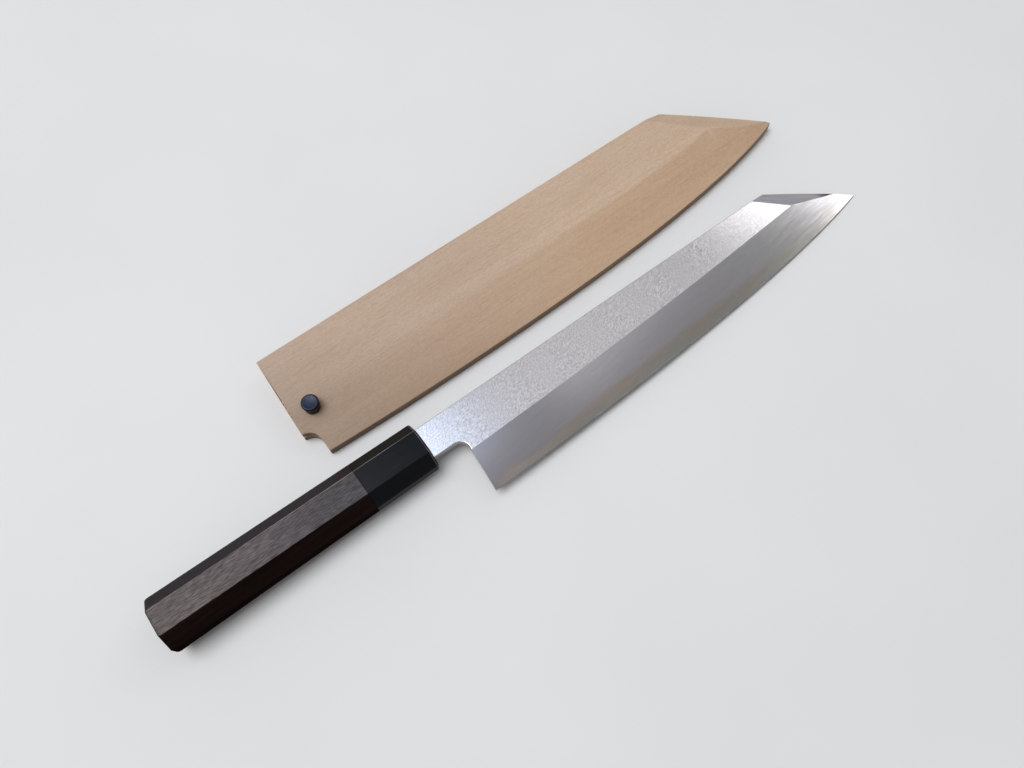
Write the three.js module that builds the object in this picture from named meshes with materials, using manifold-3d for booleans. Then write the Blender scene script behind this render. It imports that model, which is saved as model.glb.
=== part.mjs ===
import * as THREE from 'three';
import { mergeVertices } from 'three/addons/utils/BufferGeometryUtils.js';
import Module from 'manifold-3d';

// A kiritsuke: a single-bevel kitchen knife with an angled point and an octagonal handle,
// lying beside its two-part wooden sheath and the pin that locks the blade in the sheath.
// Millimetres, +Z up. The blade points along +X with its edge towards -Y and its flat back down.

const DEGREE = Math.PI / 180;

// Blade in plan: x from the front of the ferrule, y down from the spine
const BLADE_REACH = 284.5;
const TIP_DROP = 30.2;
const POINT_RUN = 44.5;
const SPINE_RISE = 1.15;
const POINT_BOW = 0.6;
const HEEL_REACH = 15.2;
const HEEL_HEIGHT = 47.9;
const HEEL_LEAN = 2.3;
const NECK_HEIGHT = 17.4;
const CHOIL_RADIUS = 5.5;
const EDGE_HEEL_RUN = 92;
const EDGE_TIP_RUN = 59.6;
const EDGE_TIP_ANGLE = 13.4 * DEGREE;

// Blade faces: the flat side, the broad bevel below its ridge and the small facet at the point
const BLADE_THICKNESS = 4;
const POINT_THICKNESS = 2.4;
const EDGE_THICKNESS = 0.25;
const RIDGE_HEEL_DROP = 24.8;
const RIDGE_POINT_DROP = 14.4;
const RIDGE_SAG = 1.7;
const FACET_SPINE_SETBACK = 8.8;
const FACET_RIDGE_ADVANCE = 7.9;
const FACET_ANGLE = 5.5 * DEGREE;

// Hard steel welded under the soft iron, with a shallow hollow ground into its back
const STEEL_AT_FERRULE = 1.2;
const STEEL_AT_TIP = 0.75;
const WELD_GAP = 0.05;
const HOLLOW_DEPTH = 0.35;
const HOLLOW_RIM = 3;
const HOLLOW_POINT_RIM = 22.5;
const HOLLOW_FADE = 0.02;

// Tang and the resin that beds it
const TANG_LENGTH = 80;
const TANG_ROOT_HEIGHT = 8.5;
const TANG_END_HEIGHT = 5;
const TANG_THICKNESS = 3;
const BEDDING_WALL = 0.6;
const BEDDING_SETBACK = 0.6;

// Handle: an octagonal horn ferrule and an octagonal wooden grip joined by a dowel
const HANDLE_LENGTH = 143;
const FERRULE_LENGTH = 35.5;
const FRONT_HEIGHT = 26;
const BUTT_HEIGHT = 27.2;
const FRONT_THICKNESS = 18.5;
const BUTT_THICKNESS = 22;
const BROAD_FACET = 13.3;
const FRONT_ROUND = 1.3;
const BUTT_ROUND_LENGTH = 2.1;
const BUTT_ROUND_INSET = 0.9;
const SPINE_ABOVE_AXIS = 9.3;
const FERRULE_NOSE = 4;
const DOWEL_DIAMETER = 14;
const DOWEL_END_WOOD = 4;
const FIT_GAP = 0.3;

// Sheath: a flat back board under a carved face
const SLOT_ROOM = 0.4;
const SLOT_END_ROOM = 2;
const SEATED_GAP = 1.5;
const SPINE_WALL = 6.6;
const EDGE_WALL = 5;
const POINT_WALL = 29;
const TIP_WALL = 35.4;
const TIP_LOWERING = 5.4;
const SHEATH_POINT_BOW = 0.9;
const BACK_BOARD = 4;
const ROOF = 3.2;
const EDGE_SIDE_HEIGHT = 6;
const SHEATH_EDGE_RUN = 74;
const SHEATH_EDGE_FLARE = -2.75 * DEGREE;
const SHEATH_TIP_RUN = 76;
const SHEATH_TIP_ANGLE = 18.5 * DEGREE;
const SHEATH_RIDGE_MOUTH_DROP = 31.5;
const SHEATH_RIDGE_POINT_DROP = 26.5;
const SHEATH_RIDGE_BEND = 9;
const SHEATH_FACET_SETBACK = 11.8;
const SHEATH_FACET_RUN = 26;
const SHEATH_FACET_ANGLE = 20 * DEGREE;
const MOUTH_LEAN = 1.6 * DEGREE;
const NOTCH_DROP = 46.4;
const NOTCH_REACH = 5.6;

// Sheath pin: a tapered peg through both boards, just behind the heel of the seated blade
const PIN_TOP_DIAMETER = 9.2;
const PIN_END_DIAMETER = 5.8;
const PIN_STANDS_PROUD = 6.3;
const PIN_END_SETBACK = 0.4;
const PIN_CHAMFER = 0.7;
const PIN_BELOW_SPINE = 30.3;
const PIN_HEEL_PLAY = 3.05;

// Where the sheath lies beside the knife
const SHEATH_MOUTH_BEHIND_FERRULE = 43.9;
const SHEATH_CLEAR_OF_SPINE = 18;
const SHEATH_TURN = -0.28 * DEGREE;

// Fineness of the curves, and how far a cutting solid reaches past what it cuts
const EDGE_STEPS = 40;
const POINT_STEPS = 8;
const ARC_STEPS = 10;
const ROUND_STEPS = 4;
const HOLLOW_STEPS = 18;
const HOLLOW_ARC_STEPS = 8;
const ROUND_SIDES = 32;
const PAST = 5;

const wasm = await Module();
wasm.setup();

// Booleans on closed meshes

function closed(geometry) {
  const bare = geometry.clone();
  bare.deleteAttribute('normal');
  bare.deleteAttribute('uv');
  return mergeVertices(bare);
}

function solid(geometry) {
  const bare = closed(geometry);
  const vertProperties = new Float32Array(bare.attributes.position.array);
  const triVerts = new Uint32Array(bare.index.array);
  return new wasm.Manifold(new wasm.Mesh({ numProp: 3, vertProperties, triVerts }));
}

function geometryOf(body) {
  const mesh = body.getMesh();
  const geometry = new THREE.BufferGeometry();
  geometry.setAttribute('position', new THREE.Float32BufferAttribute(mesh.vertProperties, 3));
  geometry.setIndex(Array.from(mesh.triVerts));
  geometry.computeVertexNormals();
  return geometry;
}

// Shapes shared by several pieces

function plate(outline, low, high) {
  const geometry = new THREE.ExtrudeGeometry(new THREE.Shape(outline), {
    depth: high - low,
    bevelEnabled: false,
  });
  return geometry.translate(0, 0, low);
}

// A skin over rings of equal count, closed by a flat fan at each end. The rings are convex and
// run anticlockwise as seen from the last ring.
function loft(rings) {
  const count = rings[0].length;
  const index = [];
  for (let ring = 0; ring + 1 < rings.length; ring += 1) {
    for (let i = 0; i < count; i += 1) {
      const a = ring * count + i;
      const b = ring * count + (i + 1) % count;
      index.push(a, b, b + count, a, b + count, a + count);
    }
  }
  const last = (rings.length - 1) * count;
  for (let i = 1; i + 1 < count; i += 1) {
    index.push(0, i + 1, i);
    index.push(last, last + i, last + i + 1);
  }
  const geometry = new THREE.BufferGeometry();
  geometry.setFromPoints(rings.flat());
  geometry.setIndex(index);
  return geometry;
}

function ringAcross(x, pairs) {
  return pairs.map(([y, z]) => new THREE.Vector3(x, y, z));
}

// Everything between two heights that may slope along x
function slab(from, to, low, high) {
  const side = 2 * HEEL_HEIGHT;
  const ringAt = (x) => {
    const bottom = low(x);
    const top = high(x);
    return ringAcross(x, [[-side, bottom], [side, bottom], [side, top], [-side, top]]);
  };
  return loft([ringAt(from), ringAt(to)]);
}

// A shallow arch over a share from 0 to 1, one high at the middle
const arch = (share) => 4 * share * (1 - share);

function heightOn(points, x) {
  const next = points.findIndex((point) => point.x > x);
  const before = points[next - 1];
  const after = points[next];
  return THREE.MathUtils.mapLinear(x, before.x, after.x, before.y, after.y);
}

function edgeCurve(heel, heelRun, heelAngle, tip, tipRun, tipAngle) {
  const leaveHeel = new THREE.Vector2(Math.cos(heelAngle), Math.sin(heelAngle)).multiplyScalar(heelRun);
  const reachTip = new THREE.Vector2(Math.cos(tipAngle), Math.sin(tipAngle)).multiplyScalar(tipRun);
  return new THREE.CubicBezierCurve(heel, heel.clone().add(leaveHeel), tip.clone().sub(reachTip), tip);
}

// What lies above a face that runs from a ridge down to a curved edge
function aboveBevel(edgePoints, from, ridgeDrop, ridgeHeight, edgeHeight, top) {
  const ringAt = (x, edgeY) => {
    const ridgeY = -ridgeDrop(x);
    const fall = (ridgeHeight(x) - edgeHeight) / (ridgeY - edgeY);
    const outside = edgeY - PAST;
    const outsideHeight = edgeHeight - fall * PAST;
    return ringAcross(x, [[outside, outsideHeight], [ridgeY, ridgeHeight(x)], [ridgeY, top], [outside, top]]);
  };
  const heel = edgePoints[0];
  const tip = edgePoints[edgePoints.length - 1];
  const rings = edgePoints.map((point) => ringAt(point.x, point.y));
  return loft([ringAt(from, heel.y), ...rings, ringAt(tip.x + PAST, tip.y)]);
}

// What lies above a facet that falls away from the line between two ridge points
function aboveFacet(start, end, angle, top) {
  const along = end.clone().sub(start).normalize();
  const outward = new THREE.Vector3(-along.y, along.x, 0).normalize();
  const reach = HEEL_HEIGHT;
  const ringAt = (point) => {
    const low = point.clone().addScaledVector(outward, reach);
    low.z -= reach * Math.tan(angle);
    const lowTop = low.clone().setZ(top);
    return [point, low, lowTop, point.clone().setZ(top)];
  };
  const before = start.clone().addScaledVector(along, -reach);
  const after = end.clone().addScaledVector(along, reach);
  return loft([ringAt(before), ringAt(after)]);
}

// Blade

const spineLength = BLADE_REACH - POINT_RUN;
const facetSpineReach = spineLength - FACET_SPINE_SETBACK;
const facetRidgeReach = spineLength + FACET_RIDGE_ADVANCE;
const flatHeight = (x) => THREE.MathUtils.lerp(BLADE_THICKNESS, POINT_THICKNESS, x / BLADE_REACH);
const steelHeight = (x) => THREE.MathUtils.lerp(STEEL_AT_FERRULE, STEEL_AT_TIP, x / BLADE_REACH);
const spineRiseAt = (x) => SPINE_RISE * x / spineLength;
const choilBottom = NECK_HEIGHT + CHOIL_RADIUS;
const heelTopReach = HEEL_REACH + HEEL_LEAN;

function heelReachAt(drop) {
  const down = (drop - choilBottom) / (HEEL_HEIGHT - choilBottom);
  return heelTopReach - HEEL_LEAN * down;
}

const ridgeStart = heelReachAt(RIDGE_HEEL_DROP);

// The ridge between the flat and the bevel bows gently towards the edge
function ridgeDrop(x) {
  const share = (x - ridgeStart) / (facetRidgeReach - ridgeStart);
  const chord = THREE.MathUtils.lerp(RIDGE_HEEL_DROP, RIDGE_POINT_DROP, share);
  return chord + RIDGE_SAG * arch(share);
}

function bladeEdge(room, endRoom) {
  const heel = new THREE.Vector2(HEEL_REACH, -HEEL_HEIGHT - room);
  const tip = new THREE.Vector2(BLADE_REACH + endRoom, -TIP_DROP - room);
  return edgeCurve(heel, EDGE_HEEL_RUN, 0, tip, EDGE_TIP_RUN, EDGE_TIP_ANGLE).getPoints(EDGE_STEPS);
}

// The side between the end of a spine and a tip bows outward a little
function bowedSide(start, tip, bow) {
  const along = tip.clone().sub(start).normalize();
  const outward = new THREE.Vector2(-along.y, along.x);
  const points = [];
  for (let i = 0; i < POINT_STEPS; i += 1) {
    const share = i / POINT_STEPS;
    points.push(start.clone().lerp(tip, share).addScaledVector(outward, bow * arch(share)));
  }
  return points;
}

function bladePoint(room, endRoom) {
  const start = new THREE.Vector2(spineLength + endRoom, SPINE_RISE + room);
  const tip = new THREE.Vector2(BLADE_REACH + endRoom, -TIP_DROP - room);
  return bowedSide(start, tip, POINT_BOW);
}

function choilArc() {
  const arc = [];
  const centreX = heelTopReach - CHOIL_RADIUS;
  for (let i = 0; i <= ARC_STEPS; i += 1) {
    const turn = (i / ARC_STEPS) * Math.PI / 2;
    const x = centreX + CHOIL_RADIUS * Math.cos(turn);
    const y = -choilBottom + CHOIL_RADIUS * Math.sin(turn);
    arc.push(new THREE.Vector2(x, y));
  }
  return arc;
}

const bladeReachPast = BLADE_REACH + PAST;
const bladeTopPast = BLADE_THICKNESS + PAST;

function pointFacet() {
  const startY = spineRiseAt(facetSpineReach);
  const start = new THREE.Vector3(facetSpineReach, startY, flatHeight(facetSpineReach));
  const end = new THREE.Vector3(facetRidgeReach, -RIDGE_POINT_DROP, flatHeight(facetRidgeReach));
  return aboveFacet(start, end, FACET_ANGLE, bladeTopPast);
}

function wholeBlade() {
  const edgePoints = bladeEdge(0, 0);
  const outline = [
    new THREE.Vector2(FIT_GAP, 0),
    ...bladePoint(0, 0),
    ...edgePoints.slice().reverse(),
    ...choilArc(),
    new THREE.Vector2(FIT_GAP, -NECK_HEIGHT),
  ];
  const aboveFlat = slab(-PAST, bladeReachPast, flatHeight, () => bladeTopPast);
  const bevel = aboveBevel(edgePoints, -PAST, ridgeDrop, flatHeight, EDGE_THICKNESS, bladeTopPast);
  return solid(plate(outline, 0, BLADE_THICKNESS))
    .subtract(solid(aboveFlat))
    .subtract(solid(bevel))
    .subtract(solid(pointFacet()));
}

function tangOutline(extra, from, to) {
  const halfAt = (x) => THREE.MathUtils.lerp(TANG_ROOT_HEIGHT, TANG_END_HEIGHT, -x / TANG_LENGTH) / 2 + extra;
  return [
    new THREE.Vector2(from, -halfAt(from)),
    new THREE.Vector2(to, -halfAt(to)),
    new THREE.Vector2(to, halfAt(to)),
    new THREE.Vector2(from, halfAt(from)),
  ];
}

function tangBlock(extra, from, to) {
  const half = TANG_THICKNESS / 2 + extra;
  return plate(tangOutline(extra, from, to), -half, half);
}

// The hollow in the back leaves a flat rim at the spine, the point, the edge and the heel
function backHollow() {
  const start = heelTopReach + HOLLOW_RIM;
  const end = BLADE_REACH - HOLLOW_POINT_RIM;
  const edge = bladeEdge(0, 0);
  const pointSlope = TIP_DROP / (BLADE_REACH - spineLength);
  const rings = [];
  for (let i = 0; i <= HOLLOW_STEPS; i += 1) {
    const share = i / HOLLOW_STEPS;
    const x = THREE.MathUtils.lerp(start, end, share);
    const edgeY = heightOn(edge, x) + HOLLOW_RIM;
    const spineY = -HOLLOW_RIM - Math.max(0, (x - spineLength + HOLLOW_RIM) * pointSlope);
    const depth = HOLLOW_DEPTH * Math.sqrt(arch(THREE.MathUtils.lerp(HOLLOW_FADE, 1 - HOLLOW_FADE, share)));
    const pairs = [[edgeY, -PAST], [spineY, -PAST]];
    for (let j = 0; j <= HOLLOW_ARC_STEPS; j += 1) {
      const across = j / HOLLOW_ARC_STEPS;
      pairs.push([THREE.MathUtils.lerp(spineY, edgeY, across), depth * arch(across)]);
    }
    rings.push(ringAcross(x, pairs));
  }
  return loft(rings);
}

const blade = wholeBlade();
const tang = solid(tangBlock(0, -TANG_LENGTH, 2 * PAST).translate(0, -SPINE_ABOVE_AXIS, BLADE_THICKNESS / 2));
const underWeld = slab(0, bladeReachPast, () => -PAST, (x) => steelHeight(x) + WELD_GAP / 2);
const overWeld = slab(0, bladeReachPast, (x) => steelHeight(x) - WELD_GAP / 2, () => bladeTopPast);
const bladeIron = blade.add(tang).subtract(solid(underWeld));
const edgeSteel = blade.subtract(solid(overWeld)).subtract(solid(backHollow()));

// Handle

function octagon(x, inset) {
  const share = -x / HANDLE_LENGTH;
  const halfHeight = THREE.MathUtils.lerp(FRONT_HEIGHT, BUTT_HEIGHT, share) / 2;
  const halfThickness = THREE.MathUtils.lerp(FRONT_THICKNESS, BUTT_THICKNESS, share) / 2;
  const cut = halfHeight - BROAD_FACET / 2;
  const y = halfHeight - inset;
  const z = halfThickness - inset;
  const yShort = y - cut;
  const zShort = z - cut;
  return ringAcross(x, [
    [yShort, -z], [y, -zShort], [y, zShort], [yShort, z],
    [-yShort, z], [-y, zShort], [-y, -zShort], [-yShort, -z],
  ]);
}

// Octagons that round an end over, from the full section out to the end face
function roundedEnd(end, length, inset) {
  const rings = [];
  for (let i = 0; i <= ROUND_STEPS; i += 1) {
    const turn = (i / ROUND_STEPS) * Math.PI / 2;
    rings.push(octagon(end - length * (1 - Math.sin(turn)), inset * (1 - Math.cos(turn))));
  }
  return rings;
}

function ferruleBody() {
  return loft([octagon(-FERRULE_LENGTH, 0), ...roundedEnd(0, FRONT_ROUND, FRONT_ROUND)]);
}

function gripBody() {
  const butt = roundedEnd(-HANDLE_LENGTH, -BUTT_ROUND_LENGTH, BUTT_ROUND_INSET);
  return loft([...butt.reverse(), octagon(-FERRULE_LENGTH - FIT_GAP, 0)]);
}

function rod(from, to, diameter) {
  const geometry = new THREE.CylinderGeometry(diameter / 2, diameter / 2, to - from, ROUND_SIDES);
  return geometry.rotateZ(Math.PI / 2).translate((from + to) / 2, 0, 0);
}

const beddingBack = -TANG_LENGTH - FIT_GAP - BEDDING_WALL;
const beddingFront = -FERRULE_NOSE - FIT_GAP - BEDDING_SETBACK;
const dowelBack = beddingBack - FIT_GAP - DOWEL_END_WOOD;
const dowelFront = -FERRULE_NOSE - FIT_GAP;
const boreDiameter = DOWEL_DIAMETER + 2 * FIT_GAP;
const beddingInside = FIT_GAP;
const beddingOutside = beddingInside + BEDDING_WALL;
const dowelSlotExtra = beddingOutside + FIT_GAP;

const ferrule = solid(ferruleBody())
  .subtract(solid(rod(-FERRULE_LENGTH - PAST, -FERRULE_NOSE, boreDiameter)))
  .subtract(solid(tangBlock(FIT_GAP, -FERRULE_NOSE - PAST, PAST)));
const grip = solid(gripBody()).subtract(solid(rod(dowelBack - FIT_GAP, 0, boreDiameter)));
const dowel = solid(rod(dowelBack, dowelFront, DOWEL_DIAMETER))
  .subtract(solid(tangBlock(dowelSlotExtra, beddingBack - FIT_GAP, PAST)));
const bedding = solid(tangBlock(beddingOutside, beddingBack, beddingFront))
  .subtract(solid(tangBlock(beddingInside, -TANG_LENGTH - FIT_GAP, PAST)));

// Sheath: x from its mouth, y down from its spine side, z from its underside

const slotHeight = BLADE_THICKNESS + 2 * SLOT_ROOM;
const sheathHeight = BACK_BOARD + slotHeight + ROOF;
const sheathMouthWidth = SPINE_WALL + HEEL_HEIGHT + 2 * SLOT_ROOM + EDGE_WALL;
const seatedSpineDrop = SPINE_WALL + SLOT_ROOM;
const sheathSpineEnd = SEATED_GAP + spineLength + POINT_WALL;
const sheathTipReach = SEATED_GAP + BLADE_REACH + TIP_WALL;
const sheathTip = new THREE.Vector2(sheathTipReach, -seatedSpineDrop - TIP_DROP - TIP_LOWERING);

function sheathEdge() {
  const corner = new THREE.Vector2(NOTCH_REACH, -sheathMouthWidth);
  const curve = edgeCurve(
    corner, SHEATH_EDGE_RUN, SHEATH_EDGE_FLARE, sheathTip, SHEATH_TIP_RUN, SHEATH_TIP_ANGLE,
  );
  return curve.getPoints(EDGE_STEPS);
}

// The mouth leans back towards the edge side, where a notch with a round inner corner cuts it
function sheathNotch() {
  const arc = [];
  const startX = -NOTCH_DROP * Math.tan(MOUTH_LEAN);
  const radius = NOTCH_REACH - startX;
  for (let i = 0; i <= ARC_STEPS; i += 1) {
    const turn = (i / ARC_STEPS) * Math.PI / 2;
    const x = startX + radius * Math.cos(turn);
    const y = -NOTCH_DROP - radius * (1 - Math.sin(turn));
    arc.push(new THREE.Vector2(x, y));
  }
  return arc;
}

function sheathOutline() {
  return [
    new THREE.Vector2(0, 0),
    ...bowedSide(new THREE.Vector2(sheathSpineEnd, 0), sheathTip, SHEATH_POINT_BOW),
    ...sheathEdge().reverse(),
    ...sheathNotch(),
  ];
}

const facetStartReach = sheathSpineEnd - SHEATH_FACET_SETBACK;
const facetEndReach = facetStartReach + SHEATH_FACET_RUN;

// The ridge keeps level with the spine side for most of its length, then bends up with the edge
function sheathRidgeDrop(x) {
  const share = Math.min(x / facetEndReach, 1);
  const bend = share ** SHEATH_RIDGE_BEND;
  return THREE.MathUtils.lerp(SHEATH_RIDGE_MOUTH_DROP, SHEATH_RIDGE_POINT_DROP, bend);
}

function sheathFaceBody() {
  const top = sheathHeight + PAST;
  const block = solid(plate(sheathOutline(), BACK_BOARD, sheathHeight));
  const slope = aboveBevel(
    sheathEdge(), -PAST, sheathRidgeDrop, () => sheathHeight, EDGE_SIDE_HEIGHT, top,
  );
  const facetStart = new THREE.Vector3(facetStartReach, 0, sheathHeight);
  const facetEnd = new THREE.Vector3(facetEndReach, -sheathRidgeDrop(facetEndReach), sheathHeight);
  const facet = aboveFacet(facetStart, facetEnd, SHEATH_FACET_ANGLE, top);
  return block.subtract(solid(slope)).subtract(solid(facet));
}

// The slot holds the seated blade with room on every side and is open at the mouth. Its roof is
// level over the flat of the blade and falls with the bevel.
function bladeSlot() {
  const edgePoints = bladeEdge(SLOT_ROOM, SLOT_END_ROOM);
  const outline = [
    new THREE.Vector2(-PAST, SLOT_ROOM),
    ...bladePoint(SLOT_ROOM, SLOT_END_ROOM),
    ...edgePoints.slice().reverse(),
    new THREE.Vector2(-PAST, -HEEL_HEIGHT - SLOT_ROOM),
  ];
  const edgeRoom = EDGE_THICKNESS + 2 * SLOT_ROOM;
  const bevel = aboveBevel(edgePoints, -2 * PAST, ridgeDrop, () => slotHeight, edgeRoom, slotHeight + PAST);
  return solid(plate(outline, -PAST, slotHeight))
    .subtract(solid(bevel))
    .translate([SEATED_GAP, -seatedSpineDrop, BACK_BOARD]);
}

// Pin, standing in the gap behind the heel

const pinX = SEATED_GAP + heelReachAt(PIN_BELOW_SPINE) - PIN_HEEL_PLAY - PIN_TOP_DIAMETER / 2;
const pinY = -seatedSpineDrop - PIN_BELOW_SPINE;
const faceHeightAtPin = THREE.MathUtils.mapLinear(
  -pinY, sheathRidgeDrop(pinX), sheathMouthWidth, sheathHeight, EDGE_SIDE_HEIGHT,
);
const pinTop = faceHeightAtPin + PIN_STANDS_PROUD;
const pinRadiusAt = (z) => THREE.MathUtils.mapLinear(
  z, PIN_END_SETBACK, pinTop, PIN_END_DIAMETER / 2, PIN_TOP_DIAMETER / 2,
);

function turned(profile) {
  const points = profile.map(([radius, height]) => new THREE.Vector2(radius, height));
  return closed(new THREE.LatheGeometry(points, ROUND_SIDES).rotateX(Math.PI / 2));
}

function pinBody() {
  const rimZ = pinTop - PIN_CHAMFER;
  return turned([
    [0, PIN_END_SETBACK],
    [pinRadiusAt(PIN_END_SETBACK) - PIN_CHAMFER, PIN_END_SETBACK],
    [pinRadiusAt(PIN_END_SETBACK + PIN_CHAMFER), PIN_END_SETBACK + PIN_CHAMFER],
    [pinRadiusAt(rimZ), rimZ],
    [pinRadiusAt(pinTop) - PIN_CHAMFER, pinTop],
    [0, pinTop],
  ]);
}

function pinHole() {
  const low = -PAST;
  const high = sheathHeight + PAST;
  const lowRadius = pinRadiusAt(low) + FIT_GAP;
  const highRadius = pinRadiusAt(high) + FIT_GAP;
  const profile = [[0, low], [lowRadius, low], [highRadius, high], [0, high]];
  return solid(turned(profile).translate(pinX, pinY, 0));
}

const sheathFace = sheathFaceBody().subtract(bladeSlot()).subtract(pinHole());
const sheathBack = solid(plate(sheathOutline(), 0, BACK_BOARD)).subtract(pinHole());

// Assembly

function piece(group, name, geometry, color, roughness, metalness) {
  const material = new THREE.MeshStandardMaterial({ color, roughness, metalness });
  const mesh = new THREE.Mesh(geometry, material);
  mesh.name = name;
  group.add(mesh);
  return mesh;
}

const knife = new THREE.Group();
const bladePlace = new THREE.Vector3(0, SPINE_ABOVE_AXIS, -BLADE_THICKNESS / 2);
piece(knife, 'blade_iron', geometryOf(bladeIron), 0xb9b9c0, 0.32, 1).position.copy(bladePlace);
piece(knife, 'edge_steel', geometryOf(edgeSteel), 0xa8a5a3, 0.22, 1).position.copy(bladePlace);
piece(knife, 'ferrule', geometryOf(ferrule), 0x16171a, 0.2, 0);
piece(knife, 'handle_grip', geometryOf(grip), 0x3b2a26, 0.5, 0);
piece(knife, 'handle_dowel', geometryOf(dowel), 0xcdb78f, 0.7, 0);
piece(knife, 'tang_bedding', geometryOf(bedding), 0x8a6f3f, 0.4, 0);

const sheath = new THREE.Group();
piece(sheath, 'sheath_face', geometryOf(sheathFace), 0xcbab7c, 0.6, 0);
piece(sheath, 'sheath_back', geometryOf(sheathBack), 0xcbab7c, 0.6, 0);
piece(sheath, 'sheath_pin', pinBody(), 0x23262e, 0.35, 0).position.set(pinX, pinY, 0);

// The blade outweighs the handle, so the knife rests on the ferrule's front and on the tip
const ferruleRest = new THREE.Vector3(-FRONT_ROUND, 0, octagon(-FRONT_ROUND, 0)[0].z);
const tipRest = new THREE.Vector3(BLADE_REACH, 0, -BLADE_THICKNESS / 2);
const restTilt = Math.atan2(tipRest.z - ferruleRest.z, tipRest.x - ferruleRest.x);
knife.rotation.y = restTilt;
knife.position.z = -ferruleRest.applyEuler(knife.rotation).z;

sheath.position.x = -SHEATH_MOUTH_BEHIND_FERRULE;
sheath.position.y = SPINE_ABOVE_AXIS + SHEATH_CLEAR_OF_SPINE + sheathMouthWidth;
sheath.rotation.z = SHEATH_TURN;

const kiritsuke = new THREE.Group();
kiritsuke.add(knife, sheath);

// Origin on the table, under the middle of everything
const extent = new THREE.Box3().setFromObject(kiritsuke, true);
const middle = extent.getCenter(new THREE.Vector3());
kiritsuke.position.set(-middle.x, -middle.y, 0);

export default kiritsuke;
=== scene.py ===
import math

import bmesh
import bpy
import numpy as np
from mathutils import Matrix, Quaternion, Vector
from mathutils.geometry import tessellate_polygon


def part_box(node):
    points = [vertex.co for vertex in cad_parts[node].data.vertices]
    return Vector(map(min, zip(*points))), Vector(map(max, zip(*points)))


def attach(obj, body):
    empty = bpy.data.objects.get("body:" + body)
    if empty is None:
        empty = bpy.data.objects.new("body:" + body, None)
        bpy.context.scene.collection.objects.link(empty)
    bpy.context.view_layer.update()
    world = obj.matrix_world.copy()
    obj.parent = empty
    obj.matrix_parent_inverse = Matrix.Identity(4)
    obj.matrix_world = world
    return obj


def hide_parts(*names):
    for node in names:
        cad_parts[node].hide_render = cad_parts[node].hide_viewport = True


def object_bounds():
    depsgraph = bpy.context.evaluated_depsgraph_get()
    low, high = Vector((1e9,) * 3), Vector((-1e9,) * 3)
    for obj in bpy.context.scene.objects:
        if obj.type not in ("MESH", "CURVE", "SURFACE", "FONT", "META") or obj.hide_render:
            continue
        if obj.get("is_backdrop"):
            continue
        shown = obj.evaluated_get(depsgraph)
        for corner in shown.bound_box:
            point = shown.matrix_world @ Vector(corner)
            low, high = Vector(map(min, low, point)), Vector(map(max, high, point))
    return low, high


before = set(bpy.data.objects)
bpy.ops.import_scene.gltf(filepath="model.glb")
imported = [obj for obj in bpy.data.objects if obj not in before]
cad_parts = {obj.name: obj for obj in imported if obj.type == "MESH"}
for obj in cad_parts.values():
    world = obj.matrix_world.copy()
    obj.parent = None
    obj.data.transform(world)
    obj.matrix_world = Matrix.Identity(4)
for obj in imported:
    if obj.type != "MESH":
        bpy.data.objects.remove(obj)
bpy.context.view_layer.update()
scene = bpy.context.scene
MM = 0.001


def add_object(name, data):
    made = bpy.data.objects.new(name, data)
    scene.collection.objects.link(made)
    return made


# Camera at the photograph's viewing angle

CAMERA_PLACE = (-0.10657, -0.14414, 0.38128)
CAMERA_HEADING = math.radians(36.849)
CAMERA_PITCH = math.radians(68)

camera = add_object("camera", bpy.data.cameras.new("camera"))
camera.data.sensor_fit = "HORIZONTAL"
camera.data.sensor_width = 36
camera.data.lens = 27.773
camera.data.clip_start = 0.01
camera.location = CAMERA_PLACE
looking = Vector((
    math.sin(CAMERA_HEADING) * math.cos(CAMERA_PITCH),
    math.cos(CAMERA_HEADING) * math.cos(CAMERA_PITCH),
    -math.sin(CAMERA_PITCH),
))
camera.rotation_euler = looking.to_track_quat("-Z", "Y").to_euler()
scene.camera = camera
scene.view_settings.view_transform = "Standard"

# Blade sizes in millimetres: x from the front of the ferrule, y from the spine, z from the back

REACH = 284.5
TIP_DROP = 30.2
SPINE_LENGTH = 240
SPINE_RISE = 1.15
POINT_BOW = 0.6
HEEL_X = 15.2
HEEL_DROP = 47.9
HEEL_LEAN = 2.3
NECK_DROP = 17.4
CHOIL_RADIUS = 5.5
CHOIL_DROP = NECK_DROP + CHOIL_RADIUS
HEEL_TOP_X = HEEL_X + HEEL_LEAN
EDGE_HEEL_RUN = 92
EDGE_TIP_RUN = 59.6
EDGE_TIP_ANGLE = math.radians(13.4)
THICK = 4
POINT_THICK = 2.4
EDGE_THICK = 0.25
RIDGE_HEEL_DROP = 24.8
RIDGE_POINT_DROP = 14.4
RIDGE_SAG = 1.7
RIDGE_START_X = (
    HEEL_TOP_X - HEEL_LEAN * (RIDGE_HEEL_DROP - CHOIL_DROP) / (HEEL_DROP - CHOIL_DROP)
)
FACET_SPINE_X = SPINE_LENGTH - 8.8
FACET_RIDGE_X = SPINE_LENGTH + 7.9
FACET_FALL = math.tan(math.radians(5.5))
STEEL_AT_FERRULE = 1.2
STEEL_AT_TIP = 0.75
SPINE_ABOVE_AXIS = 9.3
NECK_X = 0.3
EDGE_STEPS = 120
CROSSING_STEPS = 60
SIDE_STEPS = 200

# Handle sizes in millimetres: x from the front of the ferrule, y and z from its axis

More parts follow.
